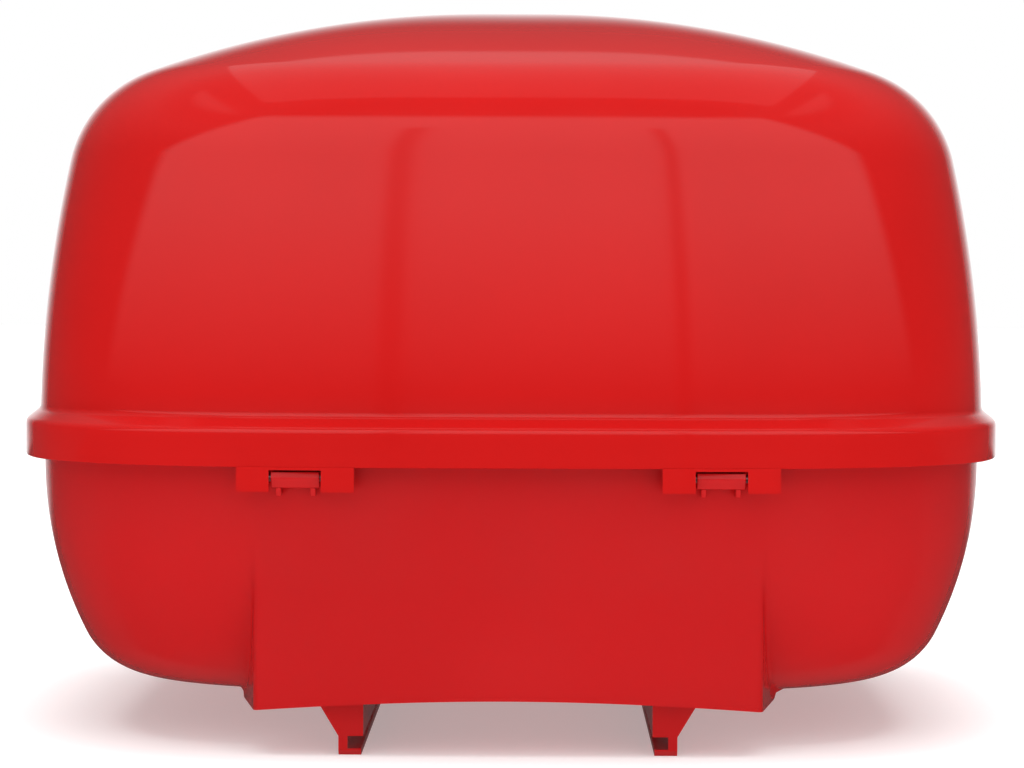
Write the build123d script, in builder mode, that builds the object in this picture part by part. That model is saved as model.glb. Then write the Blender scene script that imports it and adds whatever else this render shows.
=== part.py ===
"""Clamshell top case: domed lid, bowl-shaped base, two hinges, sprung latch with a cam lock,
carry handle, and two grooved slide rails with a release catch underneath.

Millimetres. +Z is up, -Y is the hinge side, the rails stand on z = 0 and the origin is under
the middle of the whole object.
"""
from build123d import *
from math import asin, cos, pi, radians, sin
import os

os.makedirs("parts", exist_ok=True)

# ---- case, seen from above --------------------------------------------------------------
outline_power = 3.7          # superellipse exponent of every horizontal section
outline_points = 48
rim_half_width = 200.0
rim_half_depth = 196.6
wall = 3.0                   # moulded wall of lid and base

# ---- heights ----------------------------------------------------------------------------
bowl_bottom = 20.7           # underside of the bowl's wings
bowl_height = 86.9
rim_drop = 3.6               # from the top of the bowl's curve up to the rim's lower edge
rim_face = 12.7              # flat height of the rim's outer face
shoulder_rise = 7.8          # from the rim's face up to the foot of the dome
wall_lap = 7.3               # how far the base wall stands up inside the rim
seal_height = 3.0

# ---- lid dome: wall arc, corner arc and crown arc, angles from the vertical --------------
ledge_side = 5.55            # rim to dome foot at the sides
ledge_end = 7.2              # the same at hinge and latch side
dome_wall_rise = 99.0
dome_wall_start = 1.5
dome_wall_end = 12.06
dome_corner_radius = 49.7
dome_corner_end = 68.24
seal_flange = 3.0            # thickness of the inward flange that carries the seal

# ---- base bowl: wall arc and corner arc -------------------------------------------------
base_inset_side = 7.0        # rim to base wall at the sides
base_inset_end = 12.4        # the same at hinge and latch side
bowl_wall_start = 0.37
bowl_wall_end = 25.16
bowl_corner_radius = 31.35
bowl_depth_gain = 1.1        # inset front to back over inset sideways

# ---- mounting platform under the bowl ---------------------------------------------------
block_half_width = 95.5
block_flare = 9.6            # degrees that the side walls open towards the back
block_flare_length = 56.0
block_back = 95.0            # rear end, from the middle of the case
block_face_inset = 3.8       # base wall's top to the platform's front face
block_top_drop = 12.0        # bowl's top to the top of the platform, inside the bowl
block_edge_radius = 3.0
arch_radius = 1110.0
arch_height = 21.8           # underside of the platform at the middle

# ---- hinges -----------------------------------------------------------------------------
hinge_x = 80.0
hinge_standoff = 5.3         # axis to base wall
hinge_drop = 4.0             # axis below the rim's lower edge
tab_width = 44.5
tab_heel = 5.2               # tab's lower face below the axis
tab_back = 4.2               # tab's back face behind the axis
notch_width = 19.7
notch_rise = 3.0             # notch's top above the axis
notch_reach = 3.0            # notch's pocket in front of the axis
knuckle_width = 18.3
knuckle_nose = 3.9
knuckle_nose_flat = 0.2      # nose's share that stays level underneath
knuckle_nose_slope = 0.8     # nose's share that the top reaches
knuckle_top = 2.3
knuckle_bottom = 3.8
gusset_spread = 13.0
gusset_thickness = 2.0
gusset_drop = 7.0
gusset_foot = 1.5            # gusset's foot behind the hinge axis
hinge_pin_radius = 1.5
hinge_pin_inset = 0.4        # pin end inside the tab's side face
running_clearance = 0.05
press_clearance = 0.02

# ---- slide rails ------------------------------------------------------------------------
rail_outer = 64.8
rail_web = 3.5
rail_lip_end = 56.1
rail_lip_height = 2.6
rail_slot_height = 4.8
rail_block_width = 9.5
rail_gusset = 8.7
rail_front_gap = 12.0        # platform's front edge to rail
rail_length = 258.0
rail_nose_chamfer = 2.0
rail_screw_ends = 28.0       # outer screws to rail ends
rail_screw_radius = 2.5
rail_screw_head_radius = 4.4
rail_screw_head_height = 2.8
rail_washer_radius = 6.0
rail_washer_height = 1.0
rail_pad_radius = 8.0
rail_pad_height = 1.0
rail_screw_depth = 11.0      # thread in the rail

# ---- latch ------------------------------------------------------------------------------
housing_half_width = 50.0
housing_height = 56.0
housing_proud = 3.4          # beyond the rim
housing_gap = 5.2            # below the rim
housing_sill = 5.5           # bar under the lever
lever_half_width = 20.0
lever_side_gap = 0.6
lever_rim_gap = 1.6
lever_thickness = 5.0
lever_pivot_inset = 5.6      # pivot inside the rim's rear face
lever_pivot_drop = 39.2      # pivot below the rim's lower edge
lever_pad = 12.0             # press pad below the pivot
lever_core_bottom = 6.0
lever_core_top = 16.0
lever_core_back = 7.8
latch_pin_radius = 2.0
latch_pin_bite = 6.0         # pin's length in each cheek
spring_pocket_half = 7.0
spring_pocket_radius = 4.4
latch_spring_radius = 3.1
latch_spring_wire = 0.5
latch_spring_pitch = 1.6
spring_end_gap = 1.2         # wire radii between a spring's end and its seat
hook_gap = 0.4
hook_height = 4.0
hook_tip_inset = 5.1         # hook's tip inside the rim's rear face
keeper_half_width = 16.0
keeper_depth = 6.2
keeper_drop = 0.7            # keeper's top below the dome's foot
keeper_screw_spread = 18.0
small_screw_radius = 1.5
small_head_radius = 2.8
small_head_height = 2.0
keeper_screw_length = 6.5

# ---- fixing screws of housing, brackets -------------------------------------------------
fix_screw_radius = 1.75
fix_head_radius = 3.1
fix_head_height = 2.2
fix_wall_bite = 2.0          # screw's end inside the case wall
housing_screw_x = 44.0
housing_screw_margin = 6.5

# ---- lock -------------------------------------------------------------------------------
lock_x = 36.0
lock_rise = 2.0              # lock axis above the lever's pivot
lock_body_radius = 9.0
lock_body_length = 11.5
lock_flange_radius = 11.0
lock_flange_height = 2.0
plug_radius = 6.0
plug_proud = 0.4
plug_tail = 2.0
keyway_width = 2.2
keyway_height = 8.0
keyway_depth = 13.0
cam_thickness = 2.0
cam_reach = 18.5
cam_half_width = 3.0
cam_clearance = 0.4
cam_head_height = 1.5
cam_head_radius = 2.6
cam_screw_radius = 1.2
cam_screw_depth = 1.6

# ---- carry handle -----------------------------------------------------------------------
handle_z = 48.0
handle_pivot_out = 8.0       # pivot outside the bowl wall, at that height
handle_arm_x = 64.0
handle_arm_width = 8.0
handle_bar = 10.0            # front to back
handle_reach = 36.0          # pivot to the grip's far side
grip_height = 11.0
handle_edge = 2.5
handle_side_gap = 0.3
bracket_width = 24.0
bracket_height = 14.0
bracket_out = 7.0            # bracket beyond the pivot
handle_pin_radius = 2.5
handle_pin_bite = 10.0       # pin's length in the bracket
handle_screw_from_arm = 18.0

# ---- release catch ----------------------------------------------------------------------
catch_y = 118.0              # pivot, from the middle of the case
catch_z = 12.0
catch_half_width = 12.0
catch_side_gap = 0.6
catch_thickness = 6.0
catch_nose = 26.0            # pivot to nose tip
catch_tail = 32.0            # pivot to tail end
catch_nose_width = 4.5
catch_nose_drop = 5.5
catch_pin_radius = 2.0
catch_block_half_width = 24.0
catch_block_length = 28.0
catch_block_bottom = 6.0
catch_spring_ahead = 12.0    # spring in front of the pivot
catch_spring_radius = 3.0
catch_spring_wire = 0.45
catch_spring_pitch = 1.5
catch_screw_x = 18.3
catch_screw_spread = 20.0

# ---- worked out from the sizes above ----------------------------------------------------
rear_reach = lever_rim_gap + lever_thickness
case_y = -rear_reach / 2
front_y = case_y - rim_half_depth
rear_y = case_y + rim_half_depth

bowl_top = bowl_bottom + bowl_height
rim_bottom = bowl_top + rim_drop
rim_top = rim_bottom + rim_face
dome_foot = rim_top + shoulder_rise
wall_top = rim_bottom + wall_lap
seal_roof = wall_top + seal_height

dome_half_width = rim_half_width - ledge_side
dome_half_depth = rim_half_depth - ledge_end
base_half_width = rim_half_width - base_inset_side
base_half_depth = rim_half_depth - base_inset_end

hinge_y = case_y - base_half_depth - hinge_standoff
hinge_z = rim_bottom - hinge_drop
tab_bottom = hinge_z - tab_heel
pivot_y = rear_y - lever_pivot_inset
pivot_z = rim_bottom - lever_pivot_drop
housing_y = rear_y + housing_proud
housing_top = rim_bottom - housing_gap
housing_bottom = housing_top - housing_height
lock_z = pivot_z + lock_rise
keeper_top = dome_foot - keeper_drop
keeper_bottom = seal_roof + seal_flange


# ---- shared outlines and profiles -------------------------------------------------------
def outline(half_width, half_depth, height):
    """Return the case's horizontal section, a superellipse, as a face at one height."""
    points = []
    for step in range(outline_points):
        turn = 2 * pi * step / outline_points
        across = abs(cos(turn) / half_width) ** outline_power
        along = abs(sin(turn) / half_depth) ** outline_power
        reach = (across + along) ** (-1 / outline_power)
        points.append((reach * cos(turn), case_y + reach * sin(turn)))
    with BuildSketch(Plane.XY.offset(height)) as face:
        with BuildLine():
            Spline(*points, periodic=True)
        make_face()
    return face.sketch


def prism(half_width, half_depth, low, high):
    """Return the outline as an upright solid between two heights."""
    with BuildPart() as body:
        add(outline(half_width, half_depth, low))
        extrude(amount=high - low)
    return body.part


def arc_steps(start, end, count):
    """Return count angles in degrees after start, evenly spaced and ending on end."""
    return [start + (end - start) * (step + 1) / count for step in range(count)]


def profile(arcs, inset):
    """Return (sideways travel, height travel) along tangent arcs, moved in by inset.

    Each arc is (radius, start angle, end angle, steps), with angles from the vertical.
    """
    travel = 0.0
    rise = 0.0
    points = [(inset, 0.0)]
    for radius, start, end, count in arcs:
        for angle in arc_steps(start, end, count):
            across = travel + radius * (cos(radians(start)) - cos(radians(angle)))
            up = rise + radius * (sin(radians(angle)) - sin(radians(start)))
            points.append((across + inset * cos(radians(angle)), up - inset * sin(radians(angle))))
        travel += radius * (cos(radians(start)) - cos(radians(end)))
        rise += radius * (sin(radians(end)) - sin(radians(start)))
    return points


def arc_radius(rise, start, end):
    """Return the radius of the arc that climbs by rise between two angles."""
    return rise / (sin(radians(end)) - sin(radians(start)))


def dome(inset):
    """Return the lid's dome as a solid, moved in by inset, with its foot at dome_foot."""
    wall_radius = arc_radius(dome_wall_rise, dome_wall_start, dome_wall_end)
    wall_travel = wall_radius * (cos(radians(dome_wall_start)) - cos(radians(dome_wall_end)))
    corner_travel = dome_corner_radius * (
        cos(radians(dome_wall_end)) - cos(radians(dome_corner_end))
    )
    crown_reach = dome_half_width - wall_travel - corner_travel
    crown_radius = crown_reach / cos(radians(dome_corner_end))
    arcs = [
        (wall_radius, dome_wall_start, dome_wall_end, 3),
        (dome_corner_radius, dome_wall_end, dome_corner_end, 8),
        (crown_radius, dome_corner_end, 90.0, 5),
    ]
    depth_ratio = dome_half_depth / dome_half_width
    points = profile(arcs, inset)
    sections = []
    for across, up in points[:-1]:
        half_width = dome_half_width - across
        half_depth = half_width * depth_ratio
        sections.append(outline(half_width, half_depth, dome_foot + up))
    sections.append(Vertex(0, case_y, dome_foot + points[-1][1]))
    with BuildPart() as body:
        loft(sections, ruled=True)
    return body.part


def bowl_arcs():
    """Return the bowl's wall arc and corner arc, from its top down to its flat bottom."""
    corner_drop = bowl_corner_radius * (1 - sin(radians(bowl_wall_end)))
    wall_radius = arc_radius(bowl_height - corner_drop, bowl_wall_start, bowl_wall_end)
    return [
        (wall_radius, bowl_wall_start, bowl_wall_end, 5),
        (bowl_corner_radius, bowl_wall_end, 90.0, 7),
    ]


def bowl(inset, top):
    """Return the base's bowl as a solid, moved in by inset and carried straight up to top."""
    sections = [outline(base_half_width - inset, base_half_depth - inset, top)]
    for across, down in profile(bowl_arcs(), inset):
        travel = across - inset
        half_width = base_half_width - inset - travel
        half_depth = base_half_depth - inset - bowl_depth_gain * travel
        sections.append(outline(half_width, half_depth, bowl_top - down))
    with BuildPart() as body:
        loft(sections, ruled=True)
    return body.part


def wall_reach(x, z):
    """Return how far the base's outer wall stands from the middle of the case at (x, z)."""
    radius = bowl_arcs()[0][0]
    start = radians(bowl_wall_start)
    angle = asin(sin(start) + (bowl_top - z) / radius)
    inset = radius * (cos(start) - cos(angle))
    half_width = base_half_width - inset
    half_depth = base_half_depth - bowl_depth_gain * inset
    return half_depth * (1 - abs(x / half_width) ** outline_power) ** (1 / outline_power)


def platform(inset):
    """Return the deeper block under the hinge side, moved in by inset."""
    low = arch_height - block_half_width ** 2 / (2 * arch_radius) - 4 * wall
    top = bowl_top - block_top_drop - inset
    side = block_half_width - inset
    face_inset = block_face_inset + inset
    flare = block_flare_length * sin(radians(block_flare))
    flare_y = front_y + base_inset_end + block_flare_length
    back_y = case_y + block_back - inset
    with BuildPart() as body:
        add(prism(base_half_width - face_inset, base_half_depth - face_inset, low, top))
        with BuildSketch(Plane.XY.offset(low)):
            with BuildLine():
                Polyline(
                    (-side, front_y),
                    (side, front_y),
                    (side + flare, flare_y),
                    (side + flare, back_y),
                    (-side - flare, back_y),
                    (-side - flare, flare_y),
                    close=True,
                )
            make_face()
        extrude(amount=top - low, mode=Mode.INTERSECT)
        fillet(body.edges().filter_by(Axis.Z).group_by(Axis.Y)[0], radius=block_edge_radius)
    return body.part


def arch(inset):
    """Return the large lying cylinder that hollows the platform's underside."""
    with BuildPart() as body:
        with BuildSketch(Plane.XZ.offset(-rim_half_depth - case_y)):
            with Locations((0, arch_height - arch_radius)):
                Circle(arch_radius + inset)
        extrude(amount=2 * rim_half_depth)
    return body.part


def base_body():
    """Return the base's outer form, solid inside and without hinges."""
    with BuildPart() as body:
        add(bowl(0, wall_top))
        add(platform(0))
        add(arch(0), mode=Mode.SUBTRACT)
    return body.part


def base_hollow():
    """Return the room inside the base."""
    with BuildPart() as body:
        add(bowl(wall, wall_top + wall))
        add(platform(wall))
        add(arch(wall), mode=Mode.SUBTRACT)
    return body.part


def box(low, high):
    """Return a box between two opposite corners."""
    sizes = [high[axis] - low[axis] for axis in range(3)]
    with BuildPart() as body:
        with Locations([(low[0], low[1], low[2])]):
            Box(*sizes, align=(Align.MIN, Align.MIN, Align.MIN))
    return body.part


def rod_x(radius, low, high, y, z):
    """Return a round bar along X between two values of x."""
    with BuildPart() as body:
        with BuildSketch(Plane.YZ.offset(low)):
            with Locations((y, z)):
                Circle(radius)
        extrude(amount=high - low)
    return body.part


def rod_y(radius, low, high, x, z):
    """Return a round bar along Y between two values of y."""
    with BuildPart() as body:
        with BuildSketch(Plane.XZ.offset(-high)):
            with Locations((x, z)):
                Circle(radius)
        extrude(amount=high - low)
    return body.part


def rod_z(radius, low, high, x, y):
    """Return a round bar along Z between two heights."""
    with BuildPart() as body:
        with BuildSketch(Plane.XY.offset(low)):
            with Locations((x, y)):
                Circle(radius)
        extrude(amount=high - low)
    return body.part


def slab_x(points, low, high):
    """Return a (y, z) polygon extruded along X between two values of x."""
    with BuildPart() as body:
        with BuildSketch(Plane.YZ.offset(low)):
            with BuildLine():
                Polyline(*points, close=True)
            make_face()
        extrude(amount=high - low)
    return body.part


outer_body = base_body()
sides = {"left": -1, "right": 1}

# ---- base shell -------------------------------------------------------------------------
rail_front = front_y + base_inset_end + rail_front_gap
rail_x = rail_outer - rail_block_width / 2
rail_screw_y = [
    rail_front + rail_screw_ends,
    rail_front + rail_length / 2,
    rail_front + rail_length - rail_screw_ends,
]
rail_pad_top = arch_height + wall + rail_pad_height - rail_x ** 2 / (2 * arch_radius)


def knuckle(x):
    """Return one base knuckle with its two gussets, still without its bore."""
    inside = hinge_y + hinge_standoff + 3 * wall
    shape = [
        (inside, hinge_z - knuckle_bottom),
        (hinge_y - knuckle_nose_flat * knuckle_nose, hinge_z - knuckle_bottom),
        (hinge_y - knuckle_nose, hinge_z),
        (hinge_y - knuckle_nose_slope * knuckle_nose, hinge_z + knuckle_top),
        (inside, hinge_z + knuckle_top),
    ]
    rib = [
        (inside, hinge_z - gusset_drop),
        (hinge_y + gusset_foot, hinge_z - gusset_drop),
        (hinge_y - knuckle_nose_flat * knuckle_nose, hinge_z - knuckle_bottom),
        (inside, hinge_z - knuckle_bottom),
    ]
    with BuildPart() as body:
        add(slab_x(shape, x - knuckle_width / 2, x + knuckle_width / 2))
        for side in sides.values():
            middle = x + side * gusset_spread / 2
            add(slab_x(rib, middle - gusset_thickness / 2, middle + gusset_thickness / 2))
    return body.part


def fix_screw_span(x, z, face_y):
    """Return where a wall screw's head ends and its shank ends, as two values of y."""
    return face_y - fix_head_height, case_y + wall_reach(x, z) - fix_wall_bite


housing_screw_places = [
    (side * housing_screw_x, height)
    for side in sides.values()
    for height in (housing_bottom + housing_screw_margin, housing_top - housing_screw_margin)
]
handle_pivot_y = case_y + wall_reach(handle_arm_x, handle_z) + handle_pivot_out
bracket_y = handle_pivot_y + bracket_out
handle_screw_places = [
    (side * (handle_arm_x + handle_screw_from_arm), handle_z) for side in sides.values()
]
catch_pivot_y = case_y + catch_y
catch_screw_places = [
    (side * catch_screw_x, catch_pivot_y + end * catch_screw_spread / 2)
    for side in sides.values()
    for end in sides.values()
]
catch_screw_top = bowl_bottom + fix_wall_bite


def wall_screws(places, face_y, radius):
    """Return the shanks of screws that run through a fitting into the rear wall."""
    with BuildPart() as body:
        for x, z in places:
            head_end, tip = fix_screw_span(x, z, face_y)
            add(rod_y(radius, tip, head_end, x, z))
    return body.part


def wall_screw_heads(places, face_y):
    """Return the heads of the same screws, sunk flush with the fitting."""
    with BuildPart() as body:
        for x, z in places:
            add(rod_y(fix_head_radius, face_y - fix_head_height, face_y, x, z))
    return body.part


with BuildPart() as base_shell:
    add(outer_body)
    for side in sides.values():
        add(knuckle(side * hinge_x))
    add(base_hollow(), mode=Mode.SUBTRACT)
    for side in sides.values():
        for y in rail_screw_y:
            x = side * rail_x
            floor = arch_height - (rail_x + rail_pad_radius) ** 2 / (2 * arch_radius)
            add(rod_z(rail_pad_radius, floor + wall / 2, rail_pad_top, x, y))
            add(rod_z(rail_screw_radius, 0, rail_pad_top, x, y), mode=Mode.SUBTRACT)
    bore = hinge_pin_radius + running_clearance
    for side in sides.values():
        x = side * hinge_x
        add(rod_x(bore, x - tab_width / 2, x + tab_width / 2, hinge_y, hinge_z), mode=Mode.SUBTRACT)
    add(wall_screws(housing_screw_places, housing_y, fix_screw_radius), mode=Mode.SUBTRACT)
    add(wall_screws(handle_screw_places, bracket_y, fix_screw_radius), mode=Mode.SUBTRACT)
    for x, y in catch_screw_places:
        add(rod_z(fix_screw_radius, catch_block_bottom, catch_screw_top, x, y), mode=Mode.SUBTRACT)
base_shell.part.label = "base_shell"
export_step(base_shell.part, "parts/base_shell.step")

# ---- slide rails, their screws and washers ----------------------------------------------
for name, side in sides.items():
    slot_top = rail_lip_height + rail_slot_height
    rail_top = arch_height + wall
    with BuildPart() as rail:
        with BuildSketch(Plane.XZ.offset(-rail_front)):
            with BuildLine():
                Polyline(
                    (side * rail_lip_end, 0),
                    (side * rail_outer, 0),
                    (side * rail_outer, slot_top),
                    (side * (rail_outer + rail_gusset), arch_height),
                    (side * (rail_outer + rail_gusset), rail_top),
                    (side * (rail_outer - rail_block_width), rail_top),
                    (side * (rail_outer - rail_block_width), slot_top),
                    (side * (rail_outer - rail_web), slot_top),
                    (side * (rail_outer - rail_web), rail_lip_height),
                    (side * rail_lip_end, rail_lip_height),
                    close=True,
                )
            make_face()
        extrude(amount=-rail_length)
        nose_edges = rail.faces().filter_by(Plane.XZ).sort_by(Axis.Y)[0].edges()
        chamfer(nose_edges.sort_by(Axis.Z)[0], length=rail_nose_chamfer)
        add(outer_body, mode=Mode.SUBTRACT)
        for y in rail_screw_y:
            low = rail_top - wall - rail_screw_depth
            add(rod_z(rail_screw_radius, low, rail_top, side * rail_x, y), mode=Mode.SUBTRACT)
    rail.part.label = "rail_" + name
    export_step(rail.part, "parts/rail_" + name + ".step")

with BuildPart() as rail_washers:
    for side in sides.values():
        for y in rail_screw_y:
            top = rail_pad_top + rail_washer_height
            add(rod_z(rail_washer_radius, rail_pad_top, top, side * rail_x, y))
            add(rod_z(rail_screw_radius, rail_pad_top, top, side * rail_x, y), mode=Mode.SUBTRACT)
rail_washers.part.label = "rail_washers"
export_step(rail_washers.part, "parts/rail_washers.step")

with BuildPart() as rail_screws:
    for side in sides.values():
        for y in rail_screw_y:
            seat = rail_pad_top + rail_washer_height
            low = arch_height - rail_screw_depth + running_clearance
            add(rod_z(rail_screw_radius, low, seat, side * rail_x, y))
            add(rod_z(rail_screw_head_radius, seat, seat + rail_screw_head_height, side * rail_x, y))
    fillet(rail_screws.faces().sort_by(Axis.Z)[-6:].edges(), radius=rail_screw_head_height / 3)
rail_screws.part.label = "rail_screws"
export_step(rail_screws.part, "parts/rail_screws.step")

# ---- lid shell --------------------------------------------------------------------------
def shoulder():
    """Return the rim's rounded shoulder between its outer face and the dome's foot."""
    steps = 6
    sections = []
    for step in range(steps + 1):
        share = step / steps
        ease = (1 - cos(pi * share)) / 2
        half_width = rim_half_width - ease * ledge_side
        half_depth = rim_half_depth - ease * ledge_end
        sections.append(outline(half_width, half_depth, rim_top + share * shoulder_rise))
    with BuildPart() as body:
        loft(sections, ruled=True)
    return body.part


def hinge_legs():
    """Return the room that the two hinge tabs fill, each tab with its notch cut out."""
    with BuildPart() as body:
        for side in sides.values():
            x = side * hinge_x
            notch = notch_width / 2
            low = (x - tab_width / 2, front_y - wall, tab_bottom)
            high = (x + tab_width / 2, hinge_y + tab_back, seal_roof)
            add(box(low, high))
            low = (x - notch, front_y - wall, tab_bottom)
            high = (x + notch, hinge_y + tab_back, hinge_z + notch_rise)
            add(box(low, high), mode=Mode.SUBTRACT)
        heels = body.edges().filter_by(Axis.X).group_by(Axis.Z)[0].group_by(Axis.Y)[-1]
        fillet(heels, radius=tab_back - running_clearance)
    return body.part


def below_rim():
    """Return everything under the rim's lower edge except the hinge tabs."""
    with BuildPart() as body:
        low = (-rim_half_width - wall, front_y - wall, tab_bottom - 2 * wall)
        high = (rim_half_width + wall, rear_y + wall, rim_bottom)
        add(box(low, high))
        add(hinge_legs(), mode=Mode.SUBTRACT)
    return body.part


def skirt_hollow():
    """Return the room inside the rim's skirt, up to the seal flange, without the tabs."""
    with BuildPart() as body:
        add(prism(rim_half_width - wall, rim_half_depth - wall, tab_bottom - wall, seal_roof))
        add(hinge_legs(), mode=Mode.SUBTRACT)
    return body.part


with BuildPart() as lid_shell:
    add(prism(rim_half_width, rim_half_depth, tab_bottom - wall, rim_top))
    add(shoulder())
    add(dome(0))
    add(skirt_hollow(), mode=Mode.SUBTRACT)
    add(below_rim(), mode=Mode.SUBTRACT)
    add(
        prism(
            base_half_width - wall - seal_height / 3,
            base_half_depth - wall - seal_height / 3,
            seal_roof - wall,
            keeper_bottom,
        ),
        mode=Mode.SUBTRACT,
    )
    inner_half_width = dome_half_width - wall
    inner_half_depth = inner_half_width * dome_half_depth / dome_half_width
    add(prism(inner_half_width, inner_half_depth, keeper_bottom, dome_foot), mode=Mode.SUBTRACT)
    add(dome(wall), mode=Mode.SUBTRACT)
    for side in sides.values():
        x = side * hinge_x
        notch = notch_width / 2
        low = (x - notch, hinge_y - notch_reach, rim_bottom - wall)
        high = (x + notch, hinge_y + 2 * tab_back, seal_roof)
        add(box(low, high), mode=Mode.SUBTRACT)
        bore = hinge_pin_radius + press_clearance
        low = x - tab_width / 2 + hinge_pin_inset
        high = x + tab_width / 2 - hinge_pin_inset
        add(rod_x(bore, low, high, hinge_y, hinge_z), mode=Mode.SUBTRACT)
    add(
        box(
            (-keeper_half_width, rear_y - keeper_depth, keeper_bottom),
            (keeper_half_width, rear_y + wall, dome_foot + wall),
        ),
        mode=Mode.SUBTRACT,
    )
    for side in sides.values():
        x = side * keeper_screw_spread / 2
        y = rear_y - keeper_depth / 2
        tip = keeper_top - small_head_height - keeper_screw_length
        add(rod_z(small_screw_radius, tip, keeper_bottom, x, y), mode=Mode.SUBTRACT)
lid_shell.part.label = "lid_shell"
export_step(lid_shell.part, "parts/lid_shell.step")

# ---- hinge pins -------------------------------------------------------------------------
for name, side in sides.items():
    low = side * hinge_x - tab_width / 2 + hinge_pin_inset
    high = side * hinge_x + tab_width / 2 - hinge_pin_inset
    with BuildPart() as hinge_pin:
        add(rod_x(hinge_pin_radius, low, high, hinge_y, hinge_z))
        chamfer(hinge_pin.edges().filter_by(GeomType.CIRCLE), length=hinge_pin_radius / 5)
    hinge_pin.part.label = "hinge_pin_" + name
    export_step(hinge_pin.part, "parts/hinge_pin_" + name + ".step")

# ---- seal -------------------------------------------------------------------------------
with BuildPart() as seal_gasket:
    add(prism(base_half_width, base_half_depth, wall_top, seal_roof))
    add(
        prism(base_half_width - wall, base_half_depth - wall, wall_top, seal_roof),
        mode=Mode.SUBTRACT,
    )
seal_gasket.part.label = "seal_gasket"
export_step(seal_gasket.part, "parts/seal_gasket.step")

# ---- keeper on the lid ------------------------------------------------------------------
with BuildPart() as keeper_plate:
    add(
        box(
            (-keeper_half_width, rear_y - keeper_depth, keeper_bottom),
            (keeper_half_width, rear_y, keeper_top),
        )
    )
    fillet(keeper_plate.edges().filter_by(Axis.X).group_by(Axis.Y)[-1], radius=wall / 3)
    for side in sides.values():
        x = side * keeper_screw_spread / 2
        y = rear_y - keeper_depth / 2
        seat = keeper_top - small_head_height
        add(rod_z(small_screw_radius, keeper_bottom, seat, x, y), mode=Mode.SUBTRACT)
        add(rod_z(small_head_radius, seat, keeper_top, x, y), mode=Mode.SUBTRACT)
keeper_plate.part.label = "keeper_plate"
export_step(keeper_plate.part, "parts/keeper_plate.step")

with BuildPart() as keeper_screws:
    for side in sides.values():
        x = side * keeper_screw_spread / 2
        y = rear_y - keeper_depth / 2
        seat = keeper_top - small_head_height
        add(rod_z(small_screw_radius, seat - keeper_screw_length, seat, x, y))
        add(rod_z(small_head_radius, seat, keeper_top, x, y))
keeper_screws.part.label = "keeper_screws"
export_step(keeper_screws.part, "parts/keeper_screws.step")

# ---- latch housing ----------------------------------------------------------------------
recess = lever_half_width + lever_side_gap
lock_body_back = housing_y - lock_body_length
cam_front = lock_body_back - plug_tail
cam_back = cam_front - cam_thickness
housing_inside = case_y + base_half_depth / 2

with BuildPart() as latch_housing:
    add(
        box(
            (-housing_half_width, housing_inside, housing_bottom),
            (housing_half_width, housing_y, housing_top),
        )
    )
    rear_face = latch_housing.faces().sort_by(Axis.Y)[-1]
    fillet(rear_face.edges(), radius=wall)
    add(
        box(
            (-recess, housing_inside, housing_bottom + housing_sill),
            (recess, housing_y + wall, housing_top + wall),
        ),
        mode=Mode.SUBTRACT,
    )
    add(
        box(
            (0, housing_inside, lock_z - plug_radius - wall),
            (lock_x + plug_radius + wall, lock_body_back, lock_z + cam_reach + wall),
        ),
        mode=Mode.SUBTRACT,
    )
    add(outer_body, mode=Mode.SUBTRACT)
    lock_bore = lock_body_radius + press_clearance
    add(rod_y(lock_bore, lock_body_back - wall, housing_y + wall, lock_x, lock_z), mode=Mode.SUBTRACT)
    latch_pin_end = recess + latch_pin_bite
    add(
        rod_x(latch_pin_radius, -latch_pin_end, latch_pin_end, pivot_y, pivot_z),
        mode=Mode.SUBTRACT,
    )
    add(wall_screws(housing_screw_places, housing_y, fix_screw_radius), mode=Mode.SUBTRACT)
    add(wall_screw_heads(housing_screw_places, housing_y), mode=Mode.SUBTRACT)
latch_housing.part.label = "latch_housing"
export_step(latch_housing.part, "parts/latch_housing.step")

with BuildPart() as housing_screws:
    add(wall_screws(housing_screw_places, housing_y, fix_screw_radius))
    add(wall_screw_heads(housing_screw_places, housing_y))
housing_screws.part.label = "housing_screws"
export_step(housing_screws.part, "parts/housing_screws.step")

# ---- latch lever ------------------------------------------------------------------------
plate_in = rear_y + lever_rim_gap
plate_out = plate_in + lever_thickness
hook_bottom = keeper_top + hook_gap
hook_top = hook_bottom + hook_height
core_back = pivot_y - lever_core_back

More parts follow.
